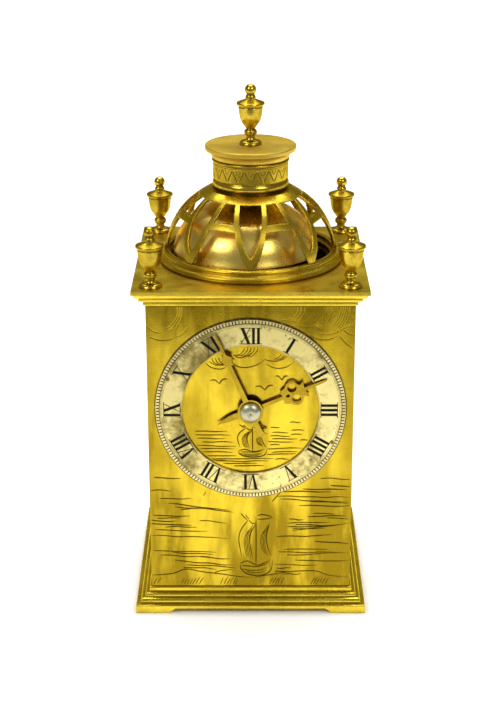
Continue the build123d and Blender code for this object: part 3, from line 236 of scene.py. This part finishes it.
def draw_dial_plate():
    rings_outer, rings_inner = 54.9, 38.6

    def outside_rings(p):
        r = math.hypot(p[0], p[1] - DIAL_Z)
        return r > rings_outer or r < rings_inner

    art = Engraving((-CASE_HALF, CASE_BOTTOM), (CASE_HALF, CASE_TOP), outside_rings, 1.55)
    # clouds in the top corners
    for k in range(3):
        art.cut(0.42, (26 + 1.9 * k, 188.0), (26 + 1.9 * k, 183.9 - 0.4 * k),
                (22.4 + 1.8 * k, 180.3 - 0.5 * k), (15.2 + 3.0 * k, 179.2 - 0.8 * k), tone=0.5)
    for k in range(4):
        art.cut(0.42, (41 + 1.3 * k, 188.0), (41 + 1.3 * k, 183.0), (38 + 1.3 * k, 178.6 - 0.3 * k),
                (34.8 + 1.2 * k, 176.0 - 0.5 * k), tone=0.6)
    for k in range(5):
        art.cut(0.42, (50.4 + 1.2 * k, 188.0), (49.6 + 1.3 * k, 182.4), (46.6 + 1.5 * k, 176.8),
                (43.4 + 1.6 * k, 173.6 - 0.3 * k), tone=0.6)
    art.cut(0.5, (23.8, 177.0), (29.7, 175.5), (35.6, 176.4), tone=0.6)
    art.cut(0.5, (32.7, 170.9), (37.9, 168.3), (44.6, 168.5), (49.1, 170.8), tone=0.9)
    art.cut(0.5, (38.0, 172.4), (44.0, 171.4), (50.0, 173.6), (58.0, 179.0), tone=0.5)
    art.cut(0.5, (50.0, 170.4), (53.0, 166.4), (58.0, 162.6), tone=0.8)
    art.cut(0.5, (52.0, 174.0), (55.0, 171.6), (58.0, 170.8), tone=0.8)
    for k in range(3):
        art.cut(0.42, (-40.7 + 1.2 * k, 187.0), (-41 + 1.2 * k, 181.6 - 0.4 * k),
                (-44.8 + 1.8 * k, 176.5 - 0.3 * k), (-49.6 + 3.4 * k, 174.3 - 0.6 * k), tone=0.4)
    art.cut(0.5, (-35.4, 175.4), (-38.0, 171.6), (-42.6, 169.3), tone=0.5)
    art.cut(0.5, (-57.0, 170.0), (-51.5, 168.0), (-45.0, 168.2), (-40.8, 170.6), tone=0.8)
    art.cut(0.45, (-58.0, 176.4), (-54.0, 172.8), (-49.0, 172.2), tone=0.6)
    # dial centre: clouds, gulls, water and a far boat
    for k in range(5):
        art.cut(0.45, (-3.6 + 1.9 * k, 164.2), (-4.0 + 1.9 * k, 161.6),
                (-6.4 + 1.8 * k, 159.2 - 0.2 * k), (-9.4 + 1.8 * k, 158.9 - 0.2 * k))
    art.cut(0.5, (-9.8, 159.4), (-7.0, 157.6), (-3.2, 157.9), (0.6, 160.4))
    art.cut(0.55, (-12.0, 155.6), (-6.8, 152.0), (-0.4, 151.9), (5.4, 154.2), (8.4, 157.2))
    art.cut(0.5, (7.6, 156.4), (12.0, 155.4), (16.8, 156.0), (19.6, 159.0))
    art.cut(0.5, (8.6, 153.6), (14.0, 151.2), (20.0, 151.8), (24.6, 155.2))
    for k in range(3):
        art.cut(0.42, (17.4 + 1.5 * k, 159.6 - 0.6 * k),
                (15.4 + 1.5 * k, 157.4 - 0.4 * k), (12.4 + 1.4 * k, 156.4 - 0.5 * k))
    for k in range(4):
        art.cut(0.45, (-23.6 + 1.9 * k, 157.8), (-22.6 + 1.9 * k, 154.8),
                (-19.0 + 1.6 * k, 153.0), (-14.8 + 0.7 * k, 153.8))
    art.cut(0.5, (-26.0, 156.0), (-22.8, 152.0), (-17.0, 150.6), (-12.4, 152.6))
    gull(art, -17.6, 142.4, 5.2)
    gull(art, 8.2, 138.6, 5.6)
    gull(art, 17.8, 144.4, 4.2, 0.4)
    for x0, x1, z in (
        (22, 29, 118.4), (11, 17, 115.2), (23, 31, 113.6), (12, 22, 111.9), (23, 30, 110.6), (11, 23, 109.9),
        (12, 27, 108.0), (10, 25, 106.2), (28, 33, 107.2), (11, 17, 104.2), (9, 30, 101.8), (12, 27, 99.8),
        (9, 26, 98.2), (-32, -13, 112.5), (-32, -11, 110.4), (-31, -14, 108.4), (-28, -10, 106.3),
        (-35, -8, 103.7), (-34, -9, 101.7), (-31, -10, 99.7), (-28, -8, 97.6), (-26, 14, 95.6),
        (-20, 11, 94.0),
        (-16, 4, 92.5), (-10, 8, 91.3), (-22, -14, 95.0), (14, 22, 95.4),
    ):
        water(art, x0, x1, z, z + jitter(0.5), 0.5, 0.3)
    boat(art, -0.6, 96.9, 0.5, 1.9)
    # water below and beside the dial
    for x0, x1, z0, z1 in (
        (-53, -34, 70.6, 70.2), (-48, -12, 67.6, 62.8), (-44, -10, 65.4, 61.8), (-41, -26, 63.6, 63.9),
        (-57, -35, 59.8, 58.9), (-58, -43, 56.2, 55.6), (-58, -34, 53.8, 52.8), (-56, -25, 50.4, 49.4),
        (-58, -13, 46.4, 44.4), (-57, -20, 37.0, 35.2), (-53, -24, 33.6, 32.4), (-45, -10, 30.2, 26.8),
        (-38, -9, 27.4, 25.4), (-58, -46, 75.6, 75.2), (-56, -40, 83.5, 83.0), (-22, -11, 22.0, 24.4),
        (16, 47, 74.4, 74.9), (15, 58, 72.0, 71.0), (17, 57, 70.0, 67.2), (28, 58, 66.2, 65.6),
        (36, 50, 60.8, 60.4), (22, 31, 57.0, 56.8), (21, 46, 54.6, 55.0), (21, 45, 52.0, 52.4),
        (24, 58, 49.6, 54.4), (15, 48, 45.4, 46.8), (37, 58, 43.0, 41.4), (19, 46, 37.8, 37.0),
        (16, 49, 35.6, 35.4), (21, 58, 33.4, 35.4), (26, 58, 30.4, 29.8), (14, 40, 27.6, 27.2),
        (15, 24, 25.2, 24.8), (14, 22, 23.4, 23.0), (-55, -40, 58.0, 57.4), (-50, -31, 52.2, 51.6),
        (-30, -14, 56.5, 54.6), (26, 50, 53.4, 53.0), (24, 44, 50.8, 51.2), (30, 56, 76.6, 76.2),
        (34, 57, 68.8, 68.2),
        (-46, -22, 35.2, 34.4), (-30, -12, 33.0, 31.0), (-40, -20, 25.8, 24.4), (33, 56, 58.8, 59.2),
        (19, 30, 20.8, 21.2), (46, 58, 78.6, 78.2), (40, 58, 83.4, 82.6), (44, 58, 57.6, 57.2),
    ):
        water(art, x0, x1, z0, z1, random.uniform(0.42, 0.6), 0.45)
    boat(art, 1.2, 20.8, 1.0, 1.12)
    # shore and grass
    art.cut(0.5, (-58, 20.4), (-46, 21.6), (-38, 24.4), (-28, 22.6), (-16, 21.0), (-6, 19.4), (2, 19.0))
    art.cut(0.5, (2, 19.0), (12, 20.8), (24, 22.8), (38, 23.2), (46, 20.4), (58, 19.0))
    for start, count in ((-57, 2), (-41, 7), (-17.5, 6), (11, 5), (35.5, 6)):
        for blade in range(count):
            x = start + blade * 1.75 + jitter(0.3)
            tall = random.uniform(3.8, 5.4)
            art.cut(0.42, (x, 14.2 + jitter(0.5)), (x + 0.9, 14.4 + tall * 0.5),
                    (x + 2.4 + jitter(0.4), 14.4 + tall))
    art.cut(0.5, (12.5, 68.2), (14.2, 70.6), (17.2, 74.0))
    art.cut(0.4, (-27.5, 72.0), (-26.4, 73.6), (-26.0, 75.0))
    return art


def dial_plate():
    art = draw_dial_plate()
    flat, sink, groove, faces = art.sheet(0.2)

    def place(i):
        return (flat[i][0], FACE_Y + sink[i], flat[i][1])

    obj = groove_mesh("engraved_plate", flat, groove, faces, place)
    # the edges and back; unlike the CAD plate, this sheet has no centre hole
    half, low, high, back = CASE_HALF, CASE_BOTTOM, CASE_TOP, FACE_Y + 2.0
    rim = new_mesh(
        "plate_rim",
        [(-half, FACE_Y, low), (half, FACE_Y, low), (half, FACE_Y, high), (-half, FACE_Y, high),
         (-half, back, low), (half, back, low), (half, back, high), (-half, back, high)],
        [(0, 4, 5, 1), (1, 5, 6, 2), (2, 6, 7, 3), (3, 7, 4, 0), (4, 7, 6, 5)],
    )
    return [obj, rim]


# ---------------------------------------------------------------- material helpers
class Shader:
    """Small helper that wires a node tree."""

    def __init__(self, name):
        self.material = bpy.data.materials.new(name)
        self.material.use_nodes = True
        self.tree = self.material.node_tree
        self.tree.nodes.clear()
        self.out = self.node("ShaderNodeOutputMaterial")
        self.bsdf = self.node("ShaderNodeBsdfPrincipled")
        self.link(self.bsdf.outputs[0], self.out.inputs[0])
        self.coords = self.node("ShaderNodeTexCoord").outputs["Object"]

    def node(self, kind, **values):
        made = self.tree.nodes.new(kind)
        for key, value in values.items():
            setattr(made, key, value)
        return made

    def link(self, a, b):
        self.tree.links.new(a, b)

    def feed(self, socket, value):
        if isinstance(value, (int, float, tuple)):
            socket.default_value = value
        else:
            self.link(value, socket)

    def noise(self, scale, detail=4.0, rough=0.55, stretch=None, shift=(0, 0, 0)):
        made = self.node("ShaderNodeTexNoise")
        made.inputs["Scale"].default_value = scale
        made.inputs["Detail"].default_value = detail
        made.inputs["Roughness"].default_value = rough
        place = self.node("ShaderNodeMapping")
        place.inputs["Location"].default_value = shift
        if stretch is not None:
            place.inputs["Scale"].default_value = stretch
        self.link(self.coords, place.inputs[0])
        self.link(place.outputs[0], made.inputs["Vector"])
        return made.outputs["Fac"]

    def ramp(self, value, low, high, start=0.0, end=1.0):
        made = self.node("ShaderNodeMapRange")
        made.interpolation_type = "SMOOTHSTEP"
        self.link(value, made.inputs[0])
        for index, number in enumerate((low, high, start, end), 1):
            made.inputs[index].default_value = number
        return made.outputs[0]

    def maths(self, operation, a, b):
        made = self.node("ShaderNodeMath", operation=operation)
        self.feed(made.inputs[0], a)
        self.feed(made.inputs[1], b)
        return made.outputs[0]

    def mix(self, factor, a, b):
        made = self.node("ShaderNodeMix", data_type="RGBA")
        self.feed(made.inputs[0], factor)
        self.feed(made.inputs[6], a if not isinstance(a, tuple) else (*a, 1.0))
        self.feed(made.inputs[7], b if not isinstance(b, tuple) else (*b, 1.0))
        return made.outputs[2]

    def bump(self, height, strength, distance, normal=None):
        made = self.node("ShaderNodeBump")
        made.inputs["Strength"].default_value = strength
        made.inputs["Distance"].default_value = distance
        self.link(height, made.inputs["Height"])
        if normal is not None:
            self.link(normal, made.inputs["Normal"])
        return made.outputs[0]


def metal(
    name, bright, dull, dirt_and_shade, rough=(0.16, 0.34), patina=0.5, patina_scale=28.0, grain=None, ripple=0.0,
    edge=0.0005, cavity=0.0035, groove=False, seed=0.0, spots=0.0, back=None, bands=(),
    painted_border_shade=False, wear=(0.40, 0.64), stain=(),
):
    """Aged metal: polished base, patina clouds, grime and painted shade in crevices, worn edges with a
    painted highlight, scratches and fine grain; optionally painted shade and reflection on the plate border
    and painted shade on faces turned from the front.
    """
    s = Shader(name)
    shift = (seed, 0.37 * seed, 0.71 * seed)
    clouds = s.noise(patina_scale, 5.0, 0.62, shift=shift)
    fine = s.noise(patina_scale * 9, 4.0, 0.6, shift=shift)
    blend = s.maths("ADD", s.maths("MULTIPLY", clouds, 0.75), s.maths("MULTIPLY", fine, 0.25))
    worn = s.maths("MULTIPLY", s.ramp(blend, *wear), patina)
    colour = s.mix(worn, bright, dull)
    # painted shade and reflection, partly tarnish: darker towards the left and right sides, under the
    # cornice, and in vertical streaks that are strongest at the foot
    if painted_border_shade:
        reflection_streak = s.noise(46.0, 4.0, 0.62, stretch=(1.0, 1.0, 0.22), shift=(1.7, 0.0, 0.4))
        place = s.node("ShaderNodeSeparateXYZ")
        s.link(s.coords, place.inputs[0])
        side = s.maths("ABSOLUTE", place.outputs["X"], 0.0)
        drift = s.noise(30.0, 4.0, 0.6, shift=(5.0, 1.0, 3.0))
        wander = s.maths("MULTIPLY", s.maths("SUBTRACT", drift, 0.5), 0.03)
        side = s.ramp(s.maths("ADD", side, wander), 0.040, 0.060)
        head = s.ramp(s.maths("ADD", place.outputs["Z"], wander), 0.160, 0.186)
        foot = s.ramp(s.maths("ADD", place.outputs["Z"], wander), 0.060, 0.088, 0.75, 0.12)
        painted_shade_and_tarnish = s.maths("MAXIMUM", s.maths("MULTIPLY", side, 0.75), s.maths("MULTIPLY", head, 0.70))
        painted_shade_and_tarnish = s.maths("ADD", painted_shade_and_tarnish, s.maths("MULTIPLY", foot, s.ramp(reflection_streak, 0.34, 0.56)))
        painted_shade_and_tarnish = s.maths("ADD", painted_shade_and_tarnish, s.ramp(reflection_streak, 0.46, 0.64, 0.0, 0.5))
        painted_shade_and_tarnish = s.maths("MINIMUM", painted_shade_and_tarnish, 1.0)
        colour = s.mix(painted_shade_and_tarnish, colour, (0.34, 0.225, 0.010))
    for x, z in stain:
        gap = s.node("ShaderNodeVectorMath", operation="MULTIPLY_ADD")
        s.link(s.coords, gap.inputs[0])
        gap.inputs[1].default_value = (1.0, 0.0, 1.0)
        gap.inputs[2].default_value = (-x, 0.0, -z)
        away = s.node("ShaderNodeVectorMath", operation="LENGTH")
        s.link(gap.outputs[0], away.inputs[0])
        near = s.ramp(away.outputs["Value"], 0.006, 0.024, 1.0, 0.0)
        colour = s.mix(s.maths("MULTIPLY", near, s.ramp(blend, 0.40, 0.60, 0.1, 0.9)), colour, dull)
    # worn edges with a painted highlight: the colour lightens where the bevel normal turns away from the face
    # normal
    rounding = s.node("ShaderNodeBevel")
    rounding.samples = 4
    rounding.inputs[0].default_value = edge
    geometry = s.node("ShaderNodeNewGeometry")
    dot = s.node("ShaderNodeVectorMath", operation="DOT_PRODUCT")
    s.link(rounding.outputs[0], dot.inputs[0])
    s.link(geometry.outputs["Normal"], dot.inputs[1])
    rim = s.ramp(dot.outputs["Value"], 0.80, 0.995, 1.0, 0.0)
    colour = s.mix(s.maths("MULTIPLY", rim, 0.55), colour, tuple(min(1.0, c * 1.12) for c in bright))
    # painted shade in crevices, partly grime: the colour turns dark wherever ambient occlusion finds a hollow
    hollow = s.node("ShaderNodeAmbientOcclusion")
    hollow.samples = 6
    hollow.inputs["Distance"].default_value = cavity
    shut_in = s.ramp(hollow.outputs["AO"], 0.25, 0.8, 1.0, 0.0)
    crevice_shade_and_grime = s.maths("MULTIPLY", shut_in, s.ramp(fine, 0.25, 0.6, 0.8, 1.0))
    colour = s.mix(s.maths("MULTIPLY", crevice_shade_and_grime, 0.8), colour, dirt_and_shade)
    if spots:
        speck = s.ramp(s.noise(420.0, 3.0, 0.7, shift=shift), 0.60, 0.72)
        spread = s.ramp(s.noise(22.0, 3.0, 0.5, shift=(4.0, 1.0, 2.0)), 0.42, 0.66)
        colour = s.mix(s.maths("MULTIPLY", s.maths("MULTIPLY", speck, spread), spots), colour, dirt_and_shade)
    smear = s.noise(60.0, 5.0, 0.65, shift=(2.0, seed, 1.0))
    roughness = s.ramp(smear, 0.3, 0.75, rough[0], rough[1])
    roughness = s.maths("ADD", roughness, s.maths("MULTIPLY", worn, 0.14))
    if groove:
        layer = s.node("ShaderNodeAttribute", attribute_name="groove")
        sunk = s.ramp(layer.outputs["Fac"], 0.05, 0.75)
        colour = s.mix(s.maths("MULTIPLY", sunk, 0.93), colour, dirt_and_shade)
        roughness = s.maths("ADD", roughness, s.maths("MULTIPLY", sunk, 0.35))
    scratch = s.noise(900.0, 3.0, 0.7, stretch=(1.0, 1.0, 0.06), shift=shift)
    cross = s.noise(700.0, 3.0, 0.7, stretch=(0.05, 0.3, 1.0), shift=shift)
    normal = s.bump(s.maths("ADD", scratch, cross), 0.10, 0.00012, rounding.outputs[0])
    if grain is not None:
        lines = s.noise(grain[0], 2.0, 0.6, stretch=grain[1])
        normal = s.bump(lines, grain[2], 0.0002, normal)
    if ripple:
        waves = s.noise(34.0, 1.5, 0.5, stretch=(1.0, 1.0, 0.55), shift=shift)
        normal = s.bump(waves, ripple, 0.004, normal)
    pits = s.ramp(s.noise(1500.0, 2.0, 0.8), 0.68, 0.80)
    normal = s.bump(pits, 0.12, -0.0001, normal)
    # painted shade: faces turned away from the front take the back colour, so sides and backs read dark
    if back is not None:
        facing = s.node("ShaderNodeSeparateXYZ")
        s.link(geometry.outputs["Normal"], facing.inputs[0])
        colour = s.mix(s.ramp(facing.outputs["Y"], -0.85, -0.35), colour, back)
    # dark rings at given radii round the dial centre, mixed towards the dark colour; on the milled ring they
    # are painted shade along its edges
    if bands:
        across = s.node("ShaderNodeVectorMath", operation="MULTIPLY_ADD")
        s.link(s.coords, across.inputs[0])
        across.inputs[1].default_value = (1.0, 0.0, 1.0)
        across.inputs[2].default_value = (0.0, 0.0, -DIAL_Z * MM)
        span = s.node("ShaderNodeVectorMath", operation="LENGTH")
        s.link(across.outputs[0], span.inputs[0])
        for radius, half in bands:
            near = s.maths("ABSOLUTE", s.maths("SUBTRACT", span.outputs["Value"], radius * MM), 0.0)
            line = s.ramp(near, 0.55 * half * MM, half * MM, 1.0, 0.0)
            colour = s.mix(s.maths("MULTIPLY", line, s.ramp(fine, 0.2, 0.6, 0.6, 0.95)), colour, dirt_and_shade)
    s.link(colour, s.bsdf.inputs["Base Color"])
    s.link(roughness, s.bsdf.inputs["Roughness"])
    s.bsdf.inputs["Metallic"].default_value = 1.0
    s.bsdf.inputs["Specular Tint"].default_value = (*[0.35 + 0.6 * c for c in bright], 1.0)
    s.link(normal, s.bsdf.inputs["Normal"])
    return s.material


YELLOW = (0.86, 0.62, 0.040)
# dark colour for grime and for painted shade in crevices
GRIME_AND_SHADE = (0.060, 0.030, 0.003)

# the front plate carries painted shade and reflection at its border
plate_brass = metal(
    "plate_brass", YELLOW, (0.66, 0.43, 0.018), (0.045, 0.022, 0.002), (0.15, 0.26), 0.6, 20.0,
    ripple=0.20, groove=True, painted_border_shade=True,
)
side_brass = metal(
    "side_brass", (0.80, 0.57, 0.05), (0.54, 0.36, 0.02), GRIME_AND_SHADE, (0.18, 0.32), 0.7, 18.0, ripple=0.14,
    seed=3.0,
)
case_brass = metal(
    "case_brass", (0.90, 0.68, 0.055), (0.56, 0.39, 0.025), GRIME_AND_SHADE, (0.16, 0.30), 0.6, 30.0, seed=1.0,
    ripple=0.05, cavity=0.0022,
)
top_brass = metal(
    "top_brass", (0.82, 0.62, 0.07), (0.58, 0.41, 0.035), GRIME_AND_SHADE, (0.24, 0.38), 0.8, 26.0, seed=5.0,
    ripple=0.08, cavity=0.002,
)
turned = metal(
    "turned_brass", (0.68, 0.48, 0.045), (0.36, 0.24, 0.018), GRIME_AND_SHADE, (0.15, 0.28), 0.8, 46.0,
    grain=(1300.0, (0.08, 0.08, 1.0), 0.10), seed=2.0, cavity=0.0045,
)
dome_brass = metal(
    "dome_brass", (0.78, 0.56, 0.05), (0.44, 0.28, 0.018), GRIME_AND_SHADE, (0.15, 0.28), 0.85, 40.0, seed=4.0,
    cavity=0.0025, edge=0.0008, wear=(0.34, 0.60),
)
drum_brass = metal(
    "drum_brass", (0.70, 0.49, 0.045), (0.42, 0.28, 0.02), GRIME_AND_SHADE, (0.18, 0.32), 0.8, 44.0,
    grain=(1300.0, (0.08, 0.08, 1.0), 0.08), seed=6.0, groove=True,
)
cap_brass = metal(
    "cap_brass", (0.80, 0.58, 0.10), (0.62, 0.42, 0.05), GRIME_AND_SHADE, (0.36, 0.50), 0.7, 30.0, seed=18.0,
    grain=(900.0, (0.08, 0.08, 1.0), 0.05),
)
bronze = metal(
    "bell_bronze", (1.0, 0.76, 0.17), (0.72, 0.47, 0.08), (0.12, 0.06, 0.01), (0.20, 0.30), 0.7, 26.0,
    grain=(1500.0, (0.06, 0.06, 1.0), 0.06), seed=8.0, cavity=0.0015,
)
silver = metal(
    "silvered_ring", (0.92, 0.78, 0.30), (0.24, 0.18, 0.04), (0.035, 0.024, 0.006), (0.26, 0.44), 0.85,
    34.0, seed=9.0, spots=1.0, cavity=0.001, wear=(0.50, 0.64),
    stain=((-0.044, 0.142), (-0.045, 0.122), (-0.026, 0.163), (-0.040, 0.100)),
    bands=((51.2, 0.12), (50.5, 0.10), (39.5, 0.12)),
)
nickel = metal(
    "dull_nickel", (0.58, 0.56, 0.38), (0.40, 0.37, 0.20), (0.07, 0.06, 0.02), (0.30, 0.46), 0.6, 90.0,
    seed=11.0, bands=((0.0, 0.7),),
)
# the hands' sides and backs carry painted shade through the back colour
hand_brass = metal(
    "hand_brass", (0.50, 0.34, 0.025), (0.34, 0.21, 0.012), GRIME_AND_SHADE, (0.16, 0.28), 0.6, 60.0, seed=12.0,
    edge=0.00015, cavity=0.0012, back=(0.24, 0.10, 0.014),
)
pin_brass = metal(
    "pin_brass", (0.34, 0.20, 0.03), (0.12, 0.06, 0.01), GRIME_AND_SHADE, (0.3, 0.45), 0.8, 300.0, seed=19.0,
    edge=0.00015, cavity=0.001,
)
# the milled ring's two bands are painted shade lines at its inner and outer edges
milled = metal(
    "milled_brass", (0.86, 0.74, 0.34), (0.60, 0.46, 0.14), (0.06, 0.032, 0.005), (0.22, 0.36), 0.5, 60.0,
    seed=13.0, edge=0.0002, cavity=0.0009, bands=((51.8, 0.35), (54.35, 0.45)),
)
# very dark colour for the sheet between the milled lands: painted shade with old polish
slot_shade_and_polish = metal(
    "slot_shade_and_polish", (0.14, 0.075, 0.015), (0.07, 0.036, 0.007), (0.03, 0.015, 0.003), (0.4, 0.6), 0.8, 90.0,
    seed=17.0,
)
works_brass = metal(
    "works_brass", (0.78, 0.56, 0.08), (0.58, 0.40, 0.05), GRIME_AND_SHADE, (0.24, 0.38), 0.4, 50.0,
    grain=(900.0, (1.0, 1.0, 0.05), 0.12), seed=14.0,
)
steel = metal(
    "works_steel", (0.52, 0.52, 0.53), (0.34, 0.33, 0.32), (0.06, 0.05, 0.04), (0.22, 0.38), 0.5, 70.0,
    grain=(1100.0, (1.0, 0.06, 1.0), 0.10), seed=15.0,
)
blued = metal(
    "blued_steel", (0.07, 0.11, 0.26), (0.05, 0.07, 0.13), (0.02, 0.02, 0.02), (0.18, 0.30), 0.5, 80.0,
    seed=16.0,
)


def black_wax():
    s = Shader("numeral_wax")
    speck = s.noise(700.0, 4.0, 0.7)
    colour = s.mix(s.ramp(speck, 0.45, 0.75), (0.008, 0.007, 0.005), (0.035, 0.026, 0.012))
    s.link(colour, s.bsdf.inputs["Base Color"])
    s.link(s.ramp(speck, 0.3, 0.7, 0.55, 0.75), s.bsdf.inputs["Roughness"])
    s.bsdf.inputs["Specular IOR Level"].default_value = 0.15
    s.link(s.bump(speck, 0.25, 0.0001), s.bsdf.inputs["Normal"])
    return s.material


wax = black_wax()

looks = {
    "case_brass": case_brass, "plate_brass": side_brass, "turned_brass": turned, "dome_brass": dome_brass,
    "bell_bronze": bronze, "silvered_brass": silver, "nickel": nickel, "hand_brass": hand_brass,
    "movement_brass": works_brass, "steel": steel, "blued_spring_steel": blued,
}
slots = {part["node"]: part["material_slot"] for part in frame["record"]["subparts"]}
for label, obj in nodes.items():
    paint(obj, looks[slots[label]])
paint(nodes["top_plate"], top_brass)
paint(nodes["milled_ring"], milled)
paint(nodes["turret_cap"], cap_brass)
paint(nodes["ring_pins"], pin_brass)

# ---------------------------------------------------------------- visual pieces
for piece in dial_plate():
    paint(piece, plate_brass)
    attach(piece, "case")
    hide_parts("front_plate")

# numerals filled with black wax
NUMERAL_LOW = 40.2
NUMERAL_HIGH = 49.1
STROKE = 1.6
HAIR = 0.45
SERIF = 1.0
RING_FRONT = FACE_Y - 1.5


def slanted(low_from, low_to, high_from, high_to):
    low, high = NUMERAL_LOW, NUMERAL_HIGH
    return [(low_from, low), (low_to, low), (high_to, high), (high_from, high)]


def numeral_strokes(text):
    width = {"I": 2.8, "V": 5.9, "X": 6.0}
    total = sum(width[letter] for letter in text)
    left = -total / 2
    shapes = []
    for letter in text:
        middle = left + width[letter] / 2
        if letter == "I":
            side, far = middle - STROKE / 2, middle + STROKE / 2
            shapes.append(slanted(side, far, side, far))
        if letter == "V":
            shapes.append(slanted(middle - 0.5, middle + 0.5, middle - 2.7, middle - 0.8))
            shapes.append(slanted(middle, middle + 0.5, middle + 2.1, middle + 2.6))
        if letter == "X":
            shapes.append(slanted(middle + 0.8, middle + 2.7, middle - 2.7, middle - 0.8))
            shapes.append(slanted(middle - 2.6, middle - 2.1, middle + 2.1, middle + 2.6))
        left += width[letter]
    half = total / 2 - 0.4 + SERIF
    for foot in (NUMERAL_LOW - HAIR, NUMERAL_HIGH):
        shapes.append([(-half, foot), (half, foot), (half, foot + HAIR), (-half, foot + HAIR)])
    return shapes


def numerals():
    points, faces = [], []
    for hour, text in enumerate(["XII", "I", "II", "III", "IIII", "V", "VI", "VII", "VIII", "IX", "X", "XI"]):
        turn = math.radians(30 * hour)
        for shape in numeral_strokes(text):
            base = len(points)
            for y in (RING_FRONT + 0.02, RING_FRONT + 0.15):
                for u, v in shape:
                    x = u * math.cos(turn) + v * math.sin(turn)
                    z = -u * math.sin(turn) + v * math.cos(turn)
                    points.append((x, y, DIAL_Z + z))
            faces.append((base, base + 1, base + 2, base + 3))
            for i in range(4):
                j = (i + 1) % 4
                faces.append((base + j, base + i, base + 4 + i, base + 4 + j))
    return new_mesh("numeral_fill", points, faces)


figures = numerals()
paint(figures, wax)
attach(figures, "case")


# ---------------------------------------------------------------- dark sheet between the milled lands: painted shade, with old polish
def slot_filler():
    points, faces = [], []
    count = 240
    inner, outer = 51.9, 53.85
    for radius in (inner, outer):
        for k in range(count):
            turn = 2 * math.pi * k / count
            points.append((radius * math.sin(turn), FACE_Y - 1.02, DIAL_Z + radius * math.cos(turn)))
    for k in range(count):
        j = (k + 1) % count
        faces.append((k, j, count + j, count + k))
    return new_mesh("milled_slot_shade_and_polish", points, faces)


filler = slot_filler()
paint(filler, slot_shade_and_polish)
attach(filler, "case")

# ---------------------------------------------------------------- engraved band on the turret
def band_sheet():
    radius, low, high = 21.62, 247.2, 256.3
    around = 2 * math.pi * radius
    art = Engraving((0.0, low), (around, high))
    art.cut(0.35, (0.5, high - 0.8), (around - 0.5, high - 0.8), taper=False)
    teeth = 19
    pitch = around / teeth
    for tooth in range(teeth):
        u = tooth * pitch
        bottom, top = low + 0.9, high - 1.3
        art.cut(0.85, (u + 0.2, bottom), (u + pitch / 2, top), taper=False)
        art.cut(0.85, (u + pitch / 2, top), (u + pitch - 0.2, bottom), taper=False)
        art.cut(0.5, (u + 0.22 * pitch, top), (u + 0.02 * pitch, bottom + 4.0), taper=False)
        art.cut(0.5, (u + 0.78 * pitch, top), (u + 0.98 * pitch, bottom + 4.0), taper=False)
    ribs = [[(around * k / 120, low), (around * k / 120, high)] for k in range(1, 120)]
    flat, sink, groove, faces = art.sheet(0.16, ribs)

    def place(i):
        turn = flat[i][0] / radius
        r = radius - sink[i]
        return (r * math.sin(turn), -r * math.cos(turn), flat[i][1])

    return groove_mesh("turret_band", flat, groove, faces, place)


band = band_sheet()
paint(band, drum_brass)
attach(band, "case")

# ---------------------------------------------------------------- floor, light and camera
def studio():
    """Pale table that ends a little in front of the clock and turns up far behind it."""
    half, front, back, bend = 2.4, -0.52, 1.7, 0.35
    profile = [(front, 0.0), (back, 0.0)]
    for step in range(1, 9):
        turn = math.radians(70 * step / 8)
        profile.append((back + bend * math.sin(turn), bend * (1 - math.cos(turn))))
    points, faces = [], []
    for x in (-half, half):
        points += [(x / MM, y / MM, z / MM) for y, z in profile]
    count = len(profile)
    for i in range(count - 1):
        faces.append((i, i + 1, count + i + 1, count + i))
    sweep = new_mesh("studio_floor", points, faces, smooth=True)
    s = Shader("studio_paper")
    grain = s.noise(180.0, 3.0, 0.6)
    paper = s.mix(s.ramp(grain, 0.3, 0.7), (0.90, 0.90, 0.90), (0.93, 0.93, 0.93))
    s.link(paper, s.bsdf.inputs["Base Color"])
    s.link(paper, s.bsdf.inputs["Emission Color"])
    # the paper glows evenly, but its glow drops under the clock's footprint: a painted shadow beneath the
    # clock
    place = s.node("ShaderNodeSeparateXYZ")
    s.link(s.coords, place.inputs[0])
    across = s.maths("ABSOLUTE", place.outputs["X"], 0.0)
    deep = s.maths("ABSOLUTE", place.outputs["Y"], 0.0)
    reach = s.maths("MAXIMUM", across, deep)
    s.link(s.ramp(reach, 0.064, 0.074, 0.02, 0.5), s.bsdf.inputs["Emission Strength"])
    s.bsdf.inputs["Roughness"].default_value = 0.85
    s.bsdf.inputs["Specular IOR Level"].default_value = 0.1
    paint(sweep, s.material)


def softbox(name, place, target, size, power, colour=(1.0, 1.0, 1.0)):
    light = bpy.data.lights.new(name, "AREA")
    light.shape = "RECTANGLE"
    light.size, light.size_y = size
    light.energy = power
    light.color = colour
    obj = bpy.data.objects.new(name, light)
    obj.location = place
    obj.rotation_euler = (Vector(target) - Vector(place)).to_track_quat("-Z", "Y").to_euler()
    bpy.context.scene.collection.objects.link(obj)


studio()
softbox("key_left", (-0.85, -0.80, 1.10), (0.0, 0.0, 0.15), (0.55, 0.50), 5.6)
softbox("key_right", (0.70, -0.95, 1.05), (0.0, 0.0, 0.15), (0.50, 0.50), 4.6)
softbox("overhead", (0.0, 0.30, 1.9), (0.0, 0.0, 0.0), (1.3, 0.7), 16.0)
softbox("floor_wash", (0.0, 1.3, 2.0), (0.0, 1.3, 0.0), (2.2, 0.8), 18.0)

world = bpy.data.worlds.new("studio_air")
world.use_nodes = True
world.node_tree.nodes["Background"].inputs[0].default_value = (0.30, 0.29, 0.27, 1.0)
world.node_tree.nodes["Background"].inputs[1].default_value = 0.8
bpy.context.scene.world = world
bpy.context.scene.view_settings.view_transform = "Standard"

lens = bpy.data.cameras.new("photo_camera")
lens.lens = 83.31
lens.sensor_width = 36.0
lens.shift_y = 0.0246
lens.shift_x = -0.0008
lens.clip_end = 20.0
camera = bpy.data.objects.new("photo_camera", lens)
camera.location = (0.0, -0.9406, 0.4841)
camera.rotation_euler = (math.radians(90.0 - 21.08), 0.0, 0.0)
bpy.context.scene.collection.objects.link(camera)
bpy.context.scene.camera = camera
